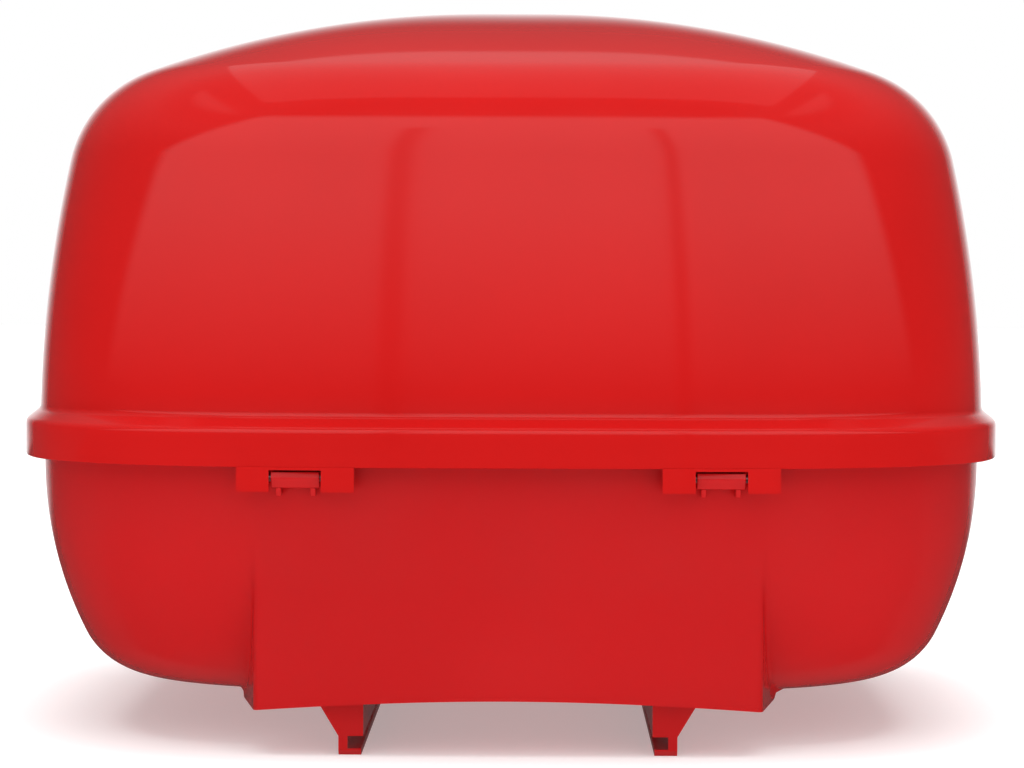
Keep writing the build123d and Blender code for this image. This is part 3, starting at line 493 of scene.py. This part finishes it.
@dataclass
class LidShell:
    """The domed lid with its rim, as one closed skin, and its two hinge tabs."""

    form: CaseForm
    wardrobe: Wardrobe
    foot_half_width: float = 194.45 * MM
    foot_half_depth: float = 189.4 * MM
    wall_rise: float = 99.0 * MM
    wall_angles: tuple[float, float] = (1.5, 12.06)
    corner_radius: float = 49.7 * MM
    corner_end: float = 68.24
    ledge_lean: float = 58.0
    ledge_radius: float = 2.98 * MM
    flange_half_width: float = 189.0 * MM
    flange_half_depth: float = 180.2 * MM
    lip: float = 0.6 * MM
    crown_hole: float = 0.2 * MM
    columns: int = 480
    arc_steps: tuple[int, int, int] = (14, 22, 22)
    ledge_steps: int = 7
    sharp_angle: float = 35.0
    tab_width: float = 44.5 * MM
    tab_heel: float = 5.2 * MM
    tab_back: float = 4.2 * MM
    notch_width: float = 19.7 * MM
    notch_rise: float = 3.0 * MM
    notch_reach: float = 3.0 * MM
    tab_overlap: float = 0.2 * MM
    tab_steps: int = 9
    tab_corner_steps: int = 8
    bridge_steps: int = 7

    def dome(self, inset: float) -> np.ndarray:
        """Return the dome's rings from its foot to the crown.

        Three tangent arcs climb from the wall to the crown; the crown's radius is what is
        left of the half-width over the cosine of the angle where its arc begins.

        Args:
            inset: distance in from the outer face.

        Returns:
            (rings, 3) half-width, half-depth and height.
        """
        start, end = (math.radians(angle) for angle in self.wall_angles)
        wall_radius = self.wall_rise / (math.sin(end) - math.sin(start))
        corner = math.radians(self.corner_end)
        left = self.foot_half_width - wall_radius * (math.cos(start) - math.cos(end))
        left -= self.corner_radius * (math.cos(end) - math.cos(corner))
        arcs = [
            (wall_radius, *self.wall_angles, self.arc_steps[0]),
            (self.corner_radius, self.wall_angles[1], self.corner_end, self.arc_steps[1]),
            (left / math.cos(corner), self.corner_end, 90.0, self.arc_steps[2]),
        ]
        across, up = arc_walk(arcs, inset)
        half_width = np.maximum(self.foot_half_width - across, self.crown_hole)
        half_depth = half_width * self.foot_half_depth / self.foot_half_width
        return np.stack([half_width, half_depth, self.form.dome_foot + up], axis=-1)

    def shoulder(self) -> np.ndarray:
        """Return the rings of the sloping ledge from the rim's face to the dome's foot.

        A convex arc turns from upright to the slope, a straight run follows, and a concave
        arc turns back. Along an arc the height goes as the sine of the angle and the travel
        inwards as one minus its cosine.

        Returns:
            (rings, 3) half-width, half-depth and height.
        """
        lean = np.radians(np.linspace(0, self.ledge_lean, self.ledge_steps))
        rise = self.form.dome_foot - self.form.rim_top
        across, up = self.ledge_radius * (1 - np.cos(lean)), self.ledge_radius * np.sin(lean)
        convex = np.stack([across, up], axis=-1)
        run = self.form.rim_half_depth - self.foot_half_depth
        concave = np.stack([run - across, rise - up], axis=-1)[::-1]
        steps = np.concatenate([convex, concave])
        share = steps[:, 0] / run
        width = self.form.rim_half_width - share * (self.form.rim_half_width - self.foot_half_width)
        depth = self.form.rim_half_depth - share * run
        return np.stack([width, depth, self.form.rim_top + steps[:, 1]], axis=-1)

    def rings(self) -> np.ndarray:
        """List every ring from the outer crown over the rim and back to the inner crown.

        Returns:
            (rings, 3) half-width, half-depth and height.
        """
        form, wall, lip = self.form, self.form.wall, self.lip
        outer_rim = [
            (form.rim_half_width, form.rim_half_depth, form.rim_bottom + lip),
            (form.rim_half_width - lip / 3, form.rim_half_depth - lip / 3, form.rim_bottom + lip / 3),
            (form.rim_half_width - lip, form.rim_half_depth - lip, form.rim_bottom),
        ]
        inner_width = form.rim_half_width - wall
        inner_depth = form.rim_half_depth - wall
        inside = [
            (inner_width, inner_depth, form.rim_bottom),
            (inner_width, inner_depth, form.seal_roof),
            (self.flange_half_width, self.flange_half_depth, form.seal_roof),
            (self.flange_half_width, self.flange_half_depth, form.seal_roof + wall),
            (self.foot_half_width - wall, self.foot_half_depth - wall, form.seal_roof + wall),
        ]
        return np.concatenate(
            [
                self.dome(0.0)[::-1],
                self.shoulder()[::-1][1:],
                np.array(outer_rim),
                np.array(inside),
                self.dome(wall),
            ]
        )

    def skin(self) -> Piece:
        """Make the lid's skin, each ring a superellipse at its height.

        Returns:
            The new object.
        """
        rings = self.rings()
        turn = np.linspace(0, 2 * math.pi, self.columns, endpoint=False)
        reach = self.form.radius(turn[None, :], rings[:, 0:1], rings[:, 1:2])
        x = reach * np.cos(turn)
        y = self.form.centre_y + reach * np.sin(turn)
        z = np.broadcast_to(rings[:, 2:3], x.shape)
        return closed_revolve("lid_skin", np.stack([x, y, z], axis=-1), self.sharp_angle)

    def tab_leg(self, name: str, low: float, high: float) -> Piece:
        """Make one leg of a hinge tab.

        Each station along x is a closed outline in y and z: a front that keeps to the rim's
        face, a flat heel, a quarter-round back corner and a straight back.

        Args:
            name: the piece's name.
            low: lowest x.
            high: highest x.

        Returns:
            The new object.
        """
        form = self.form
        x = np.linspace(low, high, self.tab_steps)
        face = form.front(x, form.rim_half_width, form.rim_half_depth)
        bottom = form.hinge_z - self.tab_heel
        back = form.hinge_y + self.tab_back
        turn = np.radians(np.linspace(-90, 0, self.tab_corner_steps))
        corner_y = back - self.tab_back + self.tab_back * np.cos(turn)
        corner_z = bottom + self.tab_back + self.tab_back * np.sin(turn)
        y = np.concatenate([[0.0], corner_y, [back, 0.0]])
        z = np.concatenate([[bottom], corner_z, [form.seal_roof, form.seal_roof]])
        y = np.broadcast_to(y, (len(x), len(y))).copy()
        y[:, 0] = face
        y[:, -1] = face + form.wall
        z = np.broadcast_to(z, y.shape).copy()
        z[:, -1] = form.seal_roof
        under_rim = np.full((len(x), 2), form.rim_bottom + self.tab_overlap)
        y = np.concatenate([y, face[:, None] + form.wall, face[:, None]], axis=1)
        z = np.concatenate([z, under_rim], axis=1)
        sections = np.stack([np.broadcast_to(x[:, None], y.shape), y, z], axis=-1)
        return slab(name, sections)

    def build(self) -> None:
        """Make the lid's skin and its tab legs and hang them on the lid."""
        skin = self.skin()
        self.wardrobe.dress(skin, Finish.LID)
        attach(skin, "lid")
        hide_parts("lid_shell")
        for side in Side:
            for name, sign in (("inner", -1), ("outer", 1)):
                centre = side.value * self.form.hinge_x
                near = centre + sign * self.notch_width / 2
                far = centre + sign * self.tab_width / 2
                low, high = min(near, far), max(near, far)
                leg = self.tab_leg(f"hinge_tab_{side.name.lower()}_{name}", low, high)
                self.wardrobe.dress(leg, Finish.LID)
                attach(leg, "lid")
            self.bridge(side)

    def bridge(self, side: Side) -> None:
        """Join the two legs of a tab with the thin strip above its notch.

        The strip is a four-cornered outline in y and z at each station along x.

        Args:
            side: the hinge's side.
        """
        form = self.form
        centre = side.value * form.hinge_x
        half = self.notch_width / 2
        x = np.linspace(centre - half, centre + half, self.bridge_steps)
        face = form.front(x, form.rim_half_width, form.rim_half_depth)
        back = np.full(len(x), form.hinge_y - self.notch_reach)
        low = np.full(len(x), form.hinge_z + self.notch_rise)
        high = np.full(len(x), form.rim_bottom + self.tab_overlap)
        y = np.stack([face, back, back, face], axis=-1)
        z = np.stack([low, low, high, high], axis=-1)
        sections = np.stack([np.broadcast_to(x[:, None], y.shape), y, z], axis=-1)
        piece = slab(f"hinge_tab_{side.name.lower()}_bridge", sections)
        self.wardrobe.dress(piece, Finish.LID)
        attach(piece, "lid")


@dataclass
class BaseShell:
    """The bowl with its deeper middle block, its hinge knuckles and its screw pads."""

    form: CaseForm
    wardrobe: Wardrobe
    half_width: float = 193.0 * MM
    half_depth: float = 184.2 * MM
    wall_angles: tuple[float, float] = (0.37, 25.16)
    corner_radius: float = 31.35 * MM
    depth_gain: float = 1.1
    block_half_width: float = 95.5 * MM
    block_flare: float = 9.6
    block_flare_length: float = 56.0 * MM
    block_back: float = 95.0 * MM
    block_face_inset: float = 3.8 * MM
    arch_radius: float = 1110.0 * MM
    arch_height: float = 21.8 * MM
    knuckle_width: float = 18.3 * MM
    knuckle_nose: float = 3.9 * MM
    knuckle_top: float = 2.3 * MM
    knuckle_bottom: float = 3.8 * MM
    knuckle_root: float = 9.0 * MM
    nose_flat: float = 0.2
    nose_slope: float = 0.8
    edge_radius: float = 0.35 * MM
    gusset_foot: float = 1.5 * MM
    gusset_spread: float = 13.0 * MM
    gusset_thickness: float = 2.0 * MM
    gusset_drop: float = 7.0 * MM
    washer_radius: float = 6.0 * MM
    pad_radius: float = 8.0 * MM
    pad_height: float = 2.0 * MM
    pad_edge: float = 0.3 * MM
    pads_a_side: int = 3
    corner_blend: float = 3.0 * MM
    body_blend: float = 3.5 * MM
    arch_blend: float = 5.0 * MM
    floor_blend: float = 4.0 * MM
    columns: int = 360
    corner_columns: int = 70
    corner_span: float = 0.13
    arc_steps: tuple[int, int] = (26, 20)
    floor_steps: int = 34
    pad_steps: int = 48
    sharp_angle: float = 32.0
    turns: np.ndarray = field(init=False)

    def __post_init__(self) -> None:
        """Choose the directions of the columns, closer together round the block's corners."""
        corner = math.atan2(self.half_depth, self.block_half_width)
        even = np.linspace(-math.pi, math.pi, self.columns, endpoint=False)
        close = np.linspace(-self.corner_span, self.corner_span, self.corner_columns)
        self.turns = np.unique(np.concatenate([even, close - corner, close + corner - math.pi]))

    def block_reach(self, inset: float) -> np.ndarray:
        """Measure the block's outline from the middle in each column's direction.

        It is the smallest of the front face, the flared side walls, the straight side walls
        and the back, with rounded corners between front and sides.

        Args:
            inset: distance in from the outer face.

        Returns:
            The distance in each direction.
        """
        cosine, sine = np.abs(np.cos(self.turns)), np.sin(self.turns)
        face_inset = self.block_face_inset + inset
        front = self.form.radius(self.turns, self.half_width - face_inset, self.half_depth - face_inset)
        side = self.block_half_width - inset
        slope = math.tan(math.radians(self.block_flare))
        flared = (side + slope * self.half_depth) / np.maximum(cosine - slope * sine, 1e-4)
        wide = side + slope * self.block_flare_length
        straight = wide / np.maximum(cosine, 1e-4)
        back = (self.block_back - inset) / np.maximum(sine, 1e-4)
        walls = np.minimum.reduce([flared, straight, back])
        return -smooth_max(-front, -walls, self.corner_blend)

    def skin_rings(self, inset: float) -> np.ndarray:
        """Work out the rings from the top edge down to the flat bottom and in to the middle.

        At each height the outline is the larger of the bowl's superellipse and the block's
        outline. Near the bottom the block's columns are drawn down to the arched underside,
        whose height falls as x squared over twice the arch's radius.

        Args:
            inset: distance in from the outer face.

        Returns:
            (rings, columns, 3) points.
        """
        form = self.form
        start, end = (math.radians(angle) for angle in self.wall_angles)
        corner_drop = self.corner_radius * (1 - math.sin(end))
        wall_drop = form.bowl_top - form.bowl_bottom - corner_drop
        wall_radius = wall_drop / (math.sin(end) - math.sin(start))
        arcs = [
            (wall_radius, *self.wall_angles, self.arc_steps[0]),
            (self.corner_radius, self.wall_angles[1], 90.0, self.arc_steps[1]),
        ]
        across, down = arc_walk(arcs, inset)
        travel = across - inset
        half_width = self.half_width - inset - travel
        half_depth = self.half_depth - inset - self.depth_gain * travel
        height = form.bowl_top - down
        top = [[self.half_width - inset, self.half_depth - inset, form.wall_top]]
        table = np.concatenate([top, np.stack([half_width, half_depth, height], axis=-1)])
        bowl = form.radius(self.turns[None, :], table[:, 0:1], table[:, 1:2])
        block = np.broadcast_to(self.block_reach(inset), bowl.shape)
        reach = smooth_max(bowl, block, self.body_blend)
        x = reach * np.cos(self.turns)
        y = reach * np.sin(self.turns)
        floor = table[-1, 2]
        arch = self.arch_height + inset - x * x / (2 * self.arch_radius)
        in_block = smooth_step((block - bowl) / self.arch_blend)
        corner_top = floor + corner_drop
        sink = np.clip((corner_top - table[:, 2:3]) / (corner_top - floor), 0.0, 1.0)
        z = table[:, 2:3] + in_block * sink * (arch - floor)
        walls = np.stack([x, y + form.centre_y, z], axis=-1)
        share = np.linspace(1, 0, self.floor_steps)[1:-1, None]
        flat_x, flat_y = share * x[-1], share * y[-1]
        flat_reach = share * reach[-1]
        under = smooth_step((block[-1] - flat_reach) / self.floor_blend + 0.5)
        flat_arch = self.arch_height + inset - flat_x**2 / (2 * self.arch_radius)
        flat_z = floor + under * (flat_arch - floor)
        bottom = np.stack([flat_x, flat_y + form.centre_y, flat_z], axis=-1)
        return np.concatenate([walls, bottom])

    def skin(self) -> Piece:
        """Make the base's skin: the outer rings, the top edge and the inner rings.

        Returns:
            The new object.
        """
        outer = self.skin_rings(0.0)
        inner = self.skin_rings(self.form.wall)
        return closed_revolve("base_skin", np.concatenate([outer[::-1], inner]), self.sharp_angle)

    def along_x(
        self, name: str, outline: list[tuple[float, float]], low: float, high: float
    ) -> Piece:
        """Carry an outline along X.

        Args:
            name: the piece's name.
            outline: (y, z) corners.
            low: x of the first end.
            high: x of the last end.

        Returns:
            The new object.
        """
        ring = np.array(outline)
        stations = [np.column_stack([np.full(len(ring), x), ring]) for x in (low, high)]
        return slab(name, np.stack(stations))

    def knuckle(self, side: Side) -> None:
        """Make one hinge knuckle with its two small gussets.

        Args:
            side: the hinge's side.
        """
        form, nose = self.form, self.knuckle_nose
        y, z = form.hinge_y, form.hinge_z
        inside = y + self.knuckle_root
        under, over = z - self.knuckle_bottom, z + self.knuckle_top
        nose_foot = (y - self.nose_flat * nose, under)
        shape = [
            (inside, under), nose_foot, (y - nose, z),
            (y - self.nose_slope * nose, over), (inside, over),
        ]
        foot = z - self.gusset_drop
        rib = [(inside, foot), (y + self.gusset_foot, foot), nose_foot, (inside, under)]
        centre = side.value * form.hinge_x
        half = self.knuckle_width / 2
        name = f"hinge_knuckle_{side.name.lower()}"
        pieces = [self.along_x(name, shape, centre - half, centre + half)]
        for rib_side in Side:
            low = centre + (rib_side.value * self.gusset_spread - self.gusset_thickness) / 2
            high = low + self.gusset_thickness
            pieces.append(self.along_x(f"{name}_gusset_{rib_side.name.lower()}", rib, low, high))
        for piece in pieces:
            soften(piece, self.edge_radius)
            self.wardrobe.dress(piece, Finish.BASE)
            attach(piece, "base")

    def pads(self) -> None:
        """Make the raised round pad under each rail screw's washer.

        A pad is a stack of circles, of which the top one is smaller by the pad's edge.
        """
        low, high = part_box("rail_washers")
        radius, edge, top = self.washer_radius, self.pad_edge, low[2]
        turn = np.linspace(0, 2 * math.pi, self.pad_steps, endpoint=False)
        rings = [
            (self.pad_radius, top - self.pad_height),
            (self.pad_radius, top - edge),
            (self.pad_radius - edge, top),
        ]
        places = np.linspace(low[1] + radius, high[1] - radius, self.pads_a_side)
        for side in Side:
            x = high[0] - radius if side is Side.RIGHT else low[0] + radius
            for place, y in enumerate(places):
                stations = [
                    np.column_stack([x + reach * np.cos(turn), y + reach * np.sin(turn), z + 0 * turn])
                    for reach, z in rings
                ]
                pad = slab(f"screw_pad_{side.name.lower()}_{place}", np.stack(stations))
                self.wardrobe.dress(pad, Finish.BASE)
                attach(pad, "base")

    def build(self) -> None:
        """Make the base's skin, knuckles and pads."""
        skin = self.skin()
        self.wardrobe.dress(skin, Finish.BASE)
        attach(skin, "base")
        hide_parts("base_shell")
        for side in Side:
            self.knuckle(side)
        self.pads()


@dataclass
class Fittings:
    """The carried-over CAD nodes, each in its finish."""

    wardrobe: Wardrobe
    finishes: dict[Finish, tuple[str, ...]] = field(
        default_factory=lambda: {
            Finish.BASE: (
                "rail_left", "rail_right", "latch_housing",
                "handle_bracket_left", "handle_bracket_right",
            ),
            Finish.BLACK: ("latch_lever", "carry_handle", "catch_bracket", "catch_lever"),
            Finish.RUBBER: ("seal_gasket",),
            Finish.SPRING: ("latch_spring", "hinge_pin_left", "hinge_pin_right"),
            Finish.CHROME: ("lock_body", "lock_cylinder"),
            Finish.ZINC: (
                "rail_screws", "rail_washers", "keeper_plate", "keeper_screws", "housing_screws",
                "latch_pin", "lock_cam", "cam_screw",
                "handle_pins", "handle_screws", "catch_bracket_screws", "catch_pin",
            ),
        }
    )

    def build(self) -> None:
        """Dress every carried-over node."""
        for finish, names in self.finishes.items():
            for name in names:
                self.wardrobe.dress(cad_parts[name], finish)


@dataclass
class ReleaseSpring:
    """The release catch's coil spring. The real spring shortens as the catch is pushed up; here it is
    wound at one fixed length.
    """

    wardrobe: Wardrobe
    wire_radius: float = 0.45 * MM
    pitch: float = 1.5 * MM
    travel: float = 2.8 * MM
    turn_steps: int = 28
    ring_steps: int = 10

    def build(self) -> None:
        """Wind the wire between the floor and the catch.

        The wire's middle climbs evenly round a circle. Each section is a circle spanned by the
        outward direction and the direction across both it and the wire.
        """
        low, high = (np.array(corner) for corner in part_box("catch_spring"))
        centre = (low + high) / 2
        radius = (high[0] - low[0]) / 2 - self.wire_radius
        length = high[2] - low[2] - 2 * self.wire_radius
        turns = length / self.pitch
        turn = np.linspace(0, 2 * math.pi * turns, int(turns * self.turn_steps) + 1)
        outward = np.column_stack([np.cos(turn), np.sin(turn), np.zeros(len(turn))])
        climb = length / turn[-1] / radius
        along = np.column_stack([-np.sin(turn), np.cos(turn), np.full(len(turn), climb)])
        along /= np.linalg.norm(along, axis=1, keepdims=True)
        across = np.cross(along, outward)
        middle = np.array([centre[0], centre[1], low[2] + self.wire_radius]) + radius * outward
        middle[:, 2] += length * turn / turn[-1]
        ring = np.linspace(0, 2 * math.pi, self.ring_steps, endpoint=False)[None, :, None]
        reach = np.cos(ring) * outward[:, None] + np.sin(ring) * across[:, None]
        piece = slab("release_spring", middle[:, None] + self.wire_radius * reach)
        self.wardrobe.dress(piece, Finish.SPRING)
        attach(piece, "base")
        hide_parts("catch_spring")
        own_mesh(piece)


# ---- studio ----
@dataclass(frozen=True)
class SoftBox:
    """A flat glowing panel over the case. Its radiance is what the gloss mirrors."""

    name: str
    place: tuple[float, float, float]
    size: tuple[float, float]
    radiance: float

    def build(self) -> None:
        """Add the panel as an area light facing down, hidden from the camera."""
        data = bpy.data.lights.new(self.name, "AREA")
        data.shape = "RECTANGLE"
        data.size, data.size_y = self.size
        data.energy = self.radiance * math.pi * self.size[0] * self.size[1]
        lamp = bpy.data.objects.new(self.name, data)
        lamp.location = self.place
        lamp.visible_camera = False
        bpy.context.scene.collection.objects.link(lamp)


@dataclass(frozen=True)
class WideLight:
    """A very soft light without a mirror image, the same everywhere on floor and case."""

    name: str
    toward: tuple[float, float, float]
    strength: float
    spread_angle: float = 70.0

    def build(self) -> None:
        """Add the light, shining along its direction."""
        data = bpy.data.lights.new(self.name, "SUN")
        data.energy = self.strength
        data.angle = math.radians(self.spread_angle)
        lamp = bpy.data.objects.new(self.name, data)
        lamp.rotation_euler = Vector(self.toward).to_track_quat("-Z", "Y").to_euler()
        lamp.visible_glossy = False
        bpy.context.scene.collection.objects.link(lamp)


@dataclass(frozen=True)
class Room:
    """The room that the gloss mirrors: a bright front wall with two posts, dim sides, a band
    of bright back wall, a dim floor and a pale ceiling with a dark strip along the middle.

    Angles are in degrees, azimuth from the hinge side and height from level. The tables give
    radiance at a height. The front narrows with height by front_taper.
    """

    front_heights: tuple[tuple[float, float], ...] = (
        (-90.0, 0.30), (-50.0, 0.05), (-8.0, 0.03), (2.0, 0.05), (21.0, 0.80), (38.0, 0.92),
        (56.0, 0.98), (60.0, 0.12), (90.0, 0.12),
    )
    side_heights: tuple[tuple[float, float], ...] = (
        (-90.0, 0.30), (-30.0, 0.08), (5.0, 0.06), (30.0, 0.14), (45.0, 0.22), (90.0, 0.12),
    )
    front_half_angle: float = 83.0
    front_taper: float = 0.80
    front_fade: float = 8.0
    back_start: float = 146.0
    back_fade: float = 24.0
    back_top: tuple[float, float] = (24.0, 5.0)
    back_foot: tuple[float, float] = (-6.5, -4.0)
    back_glow: float = 1.0
    post_centre: float = 2.0
    post_angle: float = 6.8
    post_edges: tuple[float, float] = (1.04, 0.64)
    post_top: tuple[float, float] = (48.0, 46.0)
    post_shade: float = 0.62
    ceiling_start: tuple[float, float] = (56.0, 61.0)
    ceiling_glow: float = 0.22
    strip_edges: tuple[float, float] = (0.46, 0.5152)

    def heights(self, tree: Tree, height: Socket, table: tuple[tuple[float, float], ...]) -> Socket:
        """Look up the radiance at a height angle, on straight lines between a table's rows.

        Args:
            tree: the node tree to add to.
            height: the height's socket, 0 straight down and 1 straight up.
            table: rows of height and radiance.

        Returns:
            The radiance's socket.
        """
        node = tree.nodes.new("ShaderNodeValToRGB")
        stops = node.color_ramp.elements
        while len(stops) < len(table):
            stops.new(0.5)
        for stop, (angle, value) in zip(stops, table):
            stop.position = (angle + 90.0) / 180.0
            stop.color = (value, value, value, 1.0)
        tree.links.new(height, node.inputs["Fac"])
        return node.outputs["Color"]

    def combine(self, tree: Tree, kind: str, *values: Socket | float) -> Socket:
        """Work on one to three values with a Math node.

        Args:
            tree: the node tree to add to.
            kind: the node's operation.
            values: sockets or numbers, in the node's order.

        Returns:
            The result's socket.
        """
        node = tree.nodes.new("ShaderNodeMath")
        node.operation = kind
        for place, value in enumerate(values):
            if isinstance(value, Socket):
                tree.links.new(value, node.inputs[place])
            else:
                node.inputs[place].default_value = value
        return node.outputs[0]

    def fade(self, tree: Tree, value: Socket, start: float, end: float) -> Socket:
        """Blend smoothly from 0 to 1, and keep to them outside.

        Args:
            tree: the node tree to add to.
            value: the socket to follow.
            start: value where the result is 0.
            end: value where it is 1.

        Returns:
            The blend's socket.
        """
        node = tree.nodes.new("ShaderNodeMapRange")
        node.interpolation_type = "SMOOTHSTEP"
        node.inputs["From Min"].default_value = start
        node.inputs["From Max"].default_value = end
        tree.links.new(value, node.inputs["Value"])
        return node.outputs["Result"]

    def glow(self, tree: Tree) -> Socket:
        """Work out the room's radiance as a function of direction.

        Height is the arcsine of z; azimuth is the angle of x against minus y. The ceiling's
        strip runs where x over z is small.

        Args:
            tree: the world's node tree.

        Returns:
            The radiance's socket.
        """
        place = tree.nodes.new("ShaderNodeTexCoord")
        parts = tree.nodes.new("ShaderNodeSeparateXYZ")
        tree.links.new(place.outputs["Generated"], parts.inputs["Vector"])
        x, y, z = (parts.outputs[axis] for axis in range(3))
        rise = self.combine(tree, "ARCSINE", z)
        height = self.combine(tree, "MULTIPLY_ADD", rise, 1 / math.pi, 0.5)
        azimuth = self.combine(tree, "ARCTAN2", x, self.combine(tree, "MULTIPLY", y, -1.0))
        turn = self.combine(tree, "ABSOLUTE", azimuth)
        front = self.lit_front(tree, rise, azimuth, self.heights(tree, height, self.front_heights))
        side = self.heights(tree, height, self.side_heights)
        edge, fade = math.radians(self.front_half_angle), math.radians(self.front_fade)
        tapered = self.combine(tree, "MULTIPLY_ADD", rise, self.front_taper, turn)
        reach = self.fade(tree, tapered, edge + fade, edge)
        walls = self.blend(tree, reach, side, front)
        start = math.radians(self.back_start)
        behind = self.fade(tree, turn, start, start + math.radians(self.back_fade))
        low = self.fade(tree, rise, *map(math.radians, self.back_top))
        above = self.fade(tree, rise, *map(math.radians, self.back_foot))
        band = self.combine(tree, "MULTIPLY", self.combine(tree, "MULTIPLY", behind, low), above)
        around = self.blend(tree, band, walls, self.back_glow)
        across = self.combine(tree, "ABSOLUTE", self.combine(tree, "DIVIDE", x, z))
        beside = self.fade(tree, across, *self.strip_edges)
        high = self.fade(tree, rise, *map(math.radians, self.ceiling_start))
        ceiling = self.combine(tree, "MULTIPLY", beside, high)
        return self.combine(tree, "MULTIPLY_ADD", ceiling, self.ceiling_glow, around)

    def lit_front(self, tree: Tree, rise: Socket, azimuth: Socket, front: Socket) -> Socket:
        """Shade the front wall where its two posts stand.

        Args:
            tree: the node tree to add to.
            rise: the height angle's socket.
            azimuth: the azimuth's socket.
            front: the wall's radiance.

        Returns:
            The shaded radiance's socket.
        """
        off_centre = self.combine(tree, "SUBTRACT", azimuth, math.radians(self.post_centre))
        aside = self.combine(tree, "ABSOLUTE", off_centre)
        aside = self.combine(tree, "SUBTRACT", aside, math.radians(self.post_angle))
        from_post = self.combine(tree, "ABSOLUTE", aside)
        on_post = self.fade(tree, from_post, *map(math.radians, self.post_edges))
        under_top = self.fade(tree, rise, *map(math.radians, self.post_top))
        post = self.combine(tree, "MULTIPLY", on_post, under_top)
        lit = self.combine(tree, "MULTIPLY_ADD", post, -self.post_shade, 1.0)
        return self.combine(tree, "MULTIPLY", front, lit)

    def blend(self, tree: Tree, share: Socket, first: Socket, second: Socket | float) -> Socket:
        """Mix two values.

        Args:
            tree: the node tree to add to.
            share: how much of the second, from 0 to 1.
            first: the value at 0.
            second: the value at 1, a socket or a number.

        Returns:
            The mixed value's socket.
        """
        node = tree.nodes.new("ShaderNodeMix")
        node.data_type = "FLOAT"
        tree.links.new(share, node.inputs["Factor"])
        tree.links.new(first, node.inputs["A"])
        if isinstance(second, Socket):
            tree.links.new(second, node.inputs["B"])
        else:
            node.inputs["B"].default_value = second
        return node.outputs["Result"]

    def build(self) -> None:
        """Set the surround: plain white behind the case, the room in light and gloss."""
        world = bpy.data.worlds.new("surround")
        bpy.context.scene.world = world
        world.use_nodes = True
        tree = world.node_tree
        tree.nodes.clear()
        backdrop = tree.nodes.new("ShaderNodeBackground")
        backdrop.inputs["Color"].default_value = (1.0, 1.0, 1.0, 1.0)
        room = tree.nodes.new("ShaderNodeBackground")
        room.inputs["Color"].default_value = (1.0, 1.0, 1.0, 1.0)
        tree.links.new(self.glow(tree), room.inputs["Strength"])
        path = tree.nodes.new("ShaderNodeLightPath")
        mix = tree.nodes.new("ShaderNodeMixShader")
        out = tree.nodes.new("ShaderNodeOutputWorld")
        tree.links.new(path.outputs["Is Camera Ray"], mix.inputs["Fac"])
        tree.links.new(room.outputs["Background"], mix.inputs[1])
        tree.links.new(backdrop.outputs["Background"], mix.inputs[2])
        tree.links.new(mix.outputs["Shader"], out.inputs["Surface"])


@dataclass
class Studio:
    """Pale floor, soft lights, the room and the camera."""

    lens: float = 115.0
    sensor: float = 36.0
    camera_place: tuple[float, float, float] = (0.0107, -1.4209, 0.1780)
    pitch: float = -1.646
    yaw: float = 0.44
    roll: float = 0.20
    floor_half: float = 14.0
    floor_shade: float = 0.78
    floor_glow: float = 0.34
    overhead: SoftBox = SoftBox("overhead_box", (0.03, 0.52, 1.45), (1.06, 1.84), 0.26)
    wide: tuple[WideLight, ...] = (
        WideLight("front_wide", (-0.10, 0.90, -0.34), 0.66, 90.0),
        WideLight("top_wide", (0.0, 0.02, -1.0), 3.10, 60.0),
    )
    room: Room = Room()

    def floor(self) -> None:
        """Lay a wide pale floor under the rails, left out of the gloss."""
        half = self.floor_half
        points = [(-half, -half, 0.0), (half, -half, 0.0), (half, half, 0.0), (-half, half, 0.0)]
        mesh = bpy.data.meshes.new("floor")
        mesh.from_pydata(points, [], [(0, 1, 2, 3)])
        floor = bpy.data.objects.new("floor", mesh)
        bpy.context.scene.collection.objects.link(floor)
        material, shader = new_material("floor_white")
        shader.inputs["Base Color"].default_value = (*[self.floor_shade] * 3, 1.0)
        shader.inputs["Roughness"].default_value = 1.0
        shader.inputs["Specular IOR Level"].default_value = 0.0
        shader.inputs["Emission Color"].default_value = (1.0, 1.0, 1.0, 1.0)
        shader.inputs["Emission Strength"].default_value = self.floor_glow
        floor.data.materials.append(material)
        floor.visible_glossy = False

    def camera(self) -> None:
        """Place the camera level with the dome, a little to the right, tilted slightly down."""
        data = bpy.data.cameras.new("camera")
        data.lens = self.lens
        data.sensor_width = self.sensor
        camera = bpy.data.objects.new("camera", data)
        turn = Matrix.Rotation(math.radians(self.yaw), 4, "Z")
        turn = turn @ Matrix.Rotation(math.radians(90 + self.pitch), 4, "X")
        turn = turn @ Matrix.Rotation(math.radians(self.roll), 4, "Z")
        camera.matrix_world = Matrix.Translation(self.camera_place) @ turn
        bpy.context.scene.collection.objects.link(camera)
        bpy.context.scene.camera = camera

    def build(self) -> None:
        """Set up camera, floor, room and lights."""
        bpy.context.scene.view_settings.view_transform = "Standard"
        self.camera()
        self.floor()
        self.room.build()
        self.overhead.build()
        for light in self.wide:
            light.build()


def main() -> None:
    """Build the studio and the case, in order, and log each dressed piece's finish and face count."""
    logging.basicConfig(level=logging.INFO, format="%(name)s: %(message)s")
    form = CaseForm()
    wardrobe = Wardrobe()
    Studio().build()
    LidShell(form, wardrobe).build()
    BaseShell(form, wardrobe).build()
    Fittings(wardrobe).build()
    ReleaseSpring(wardrobe).build()


if __name__ == "__main__":
    main()
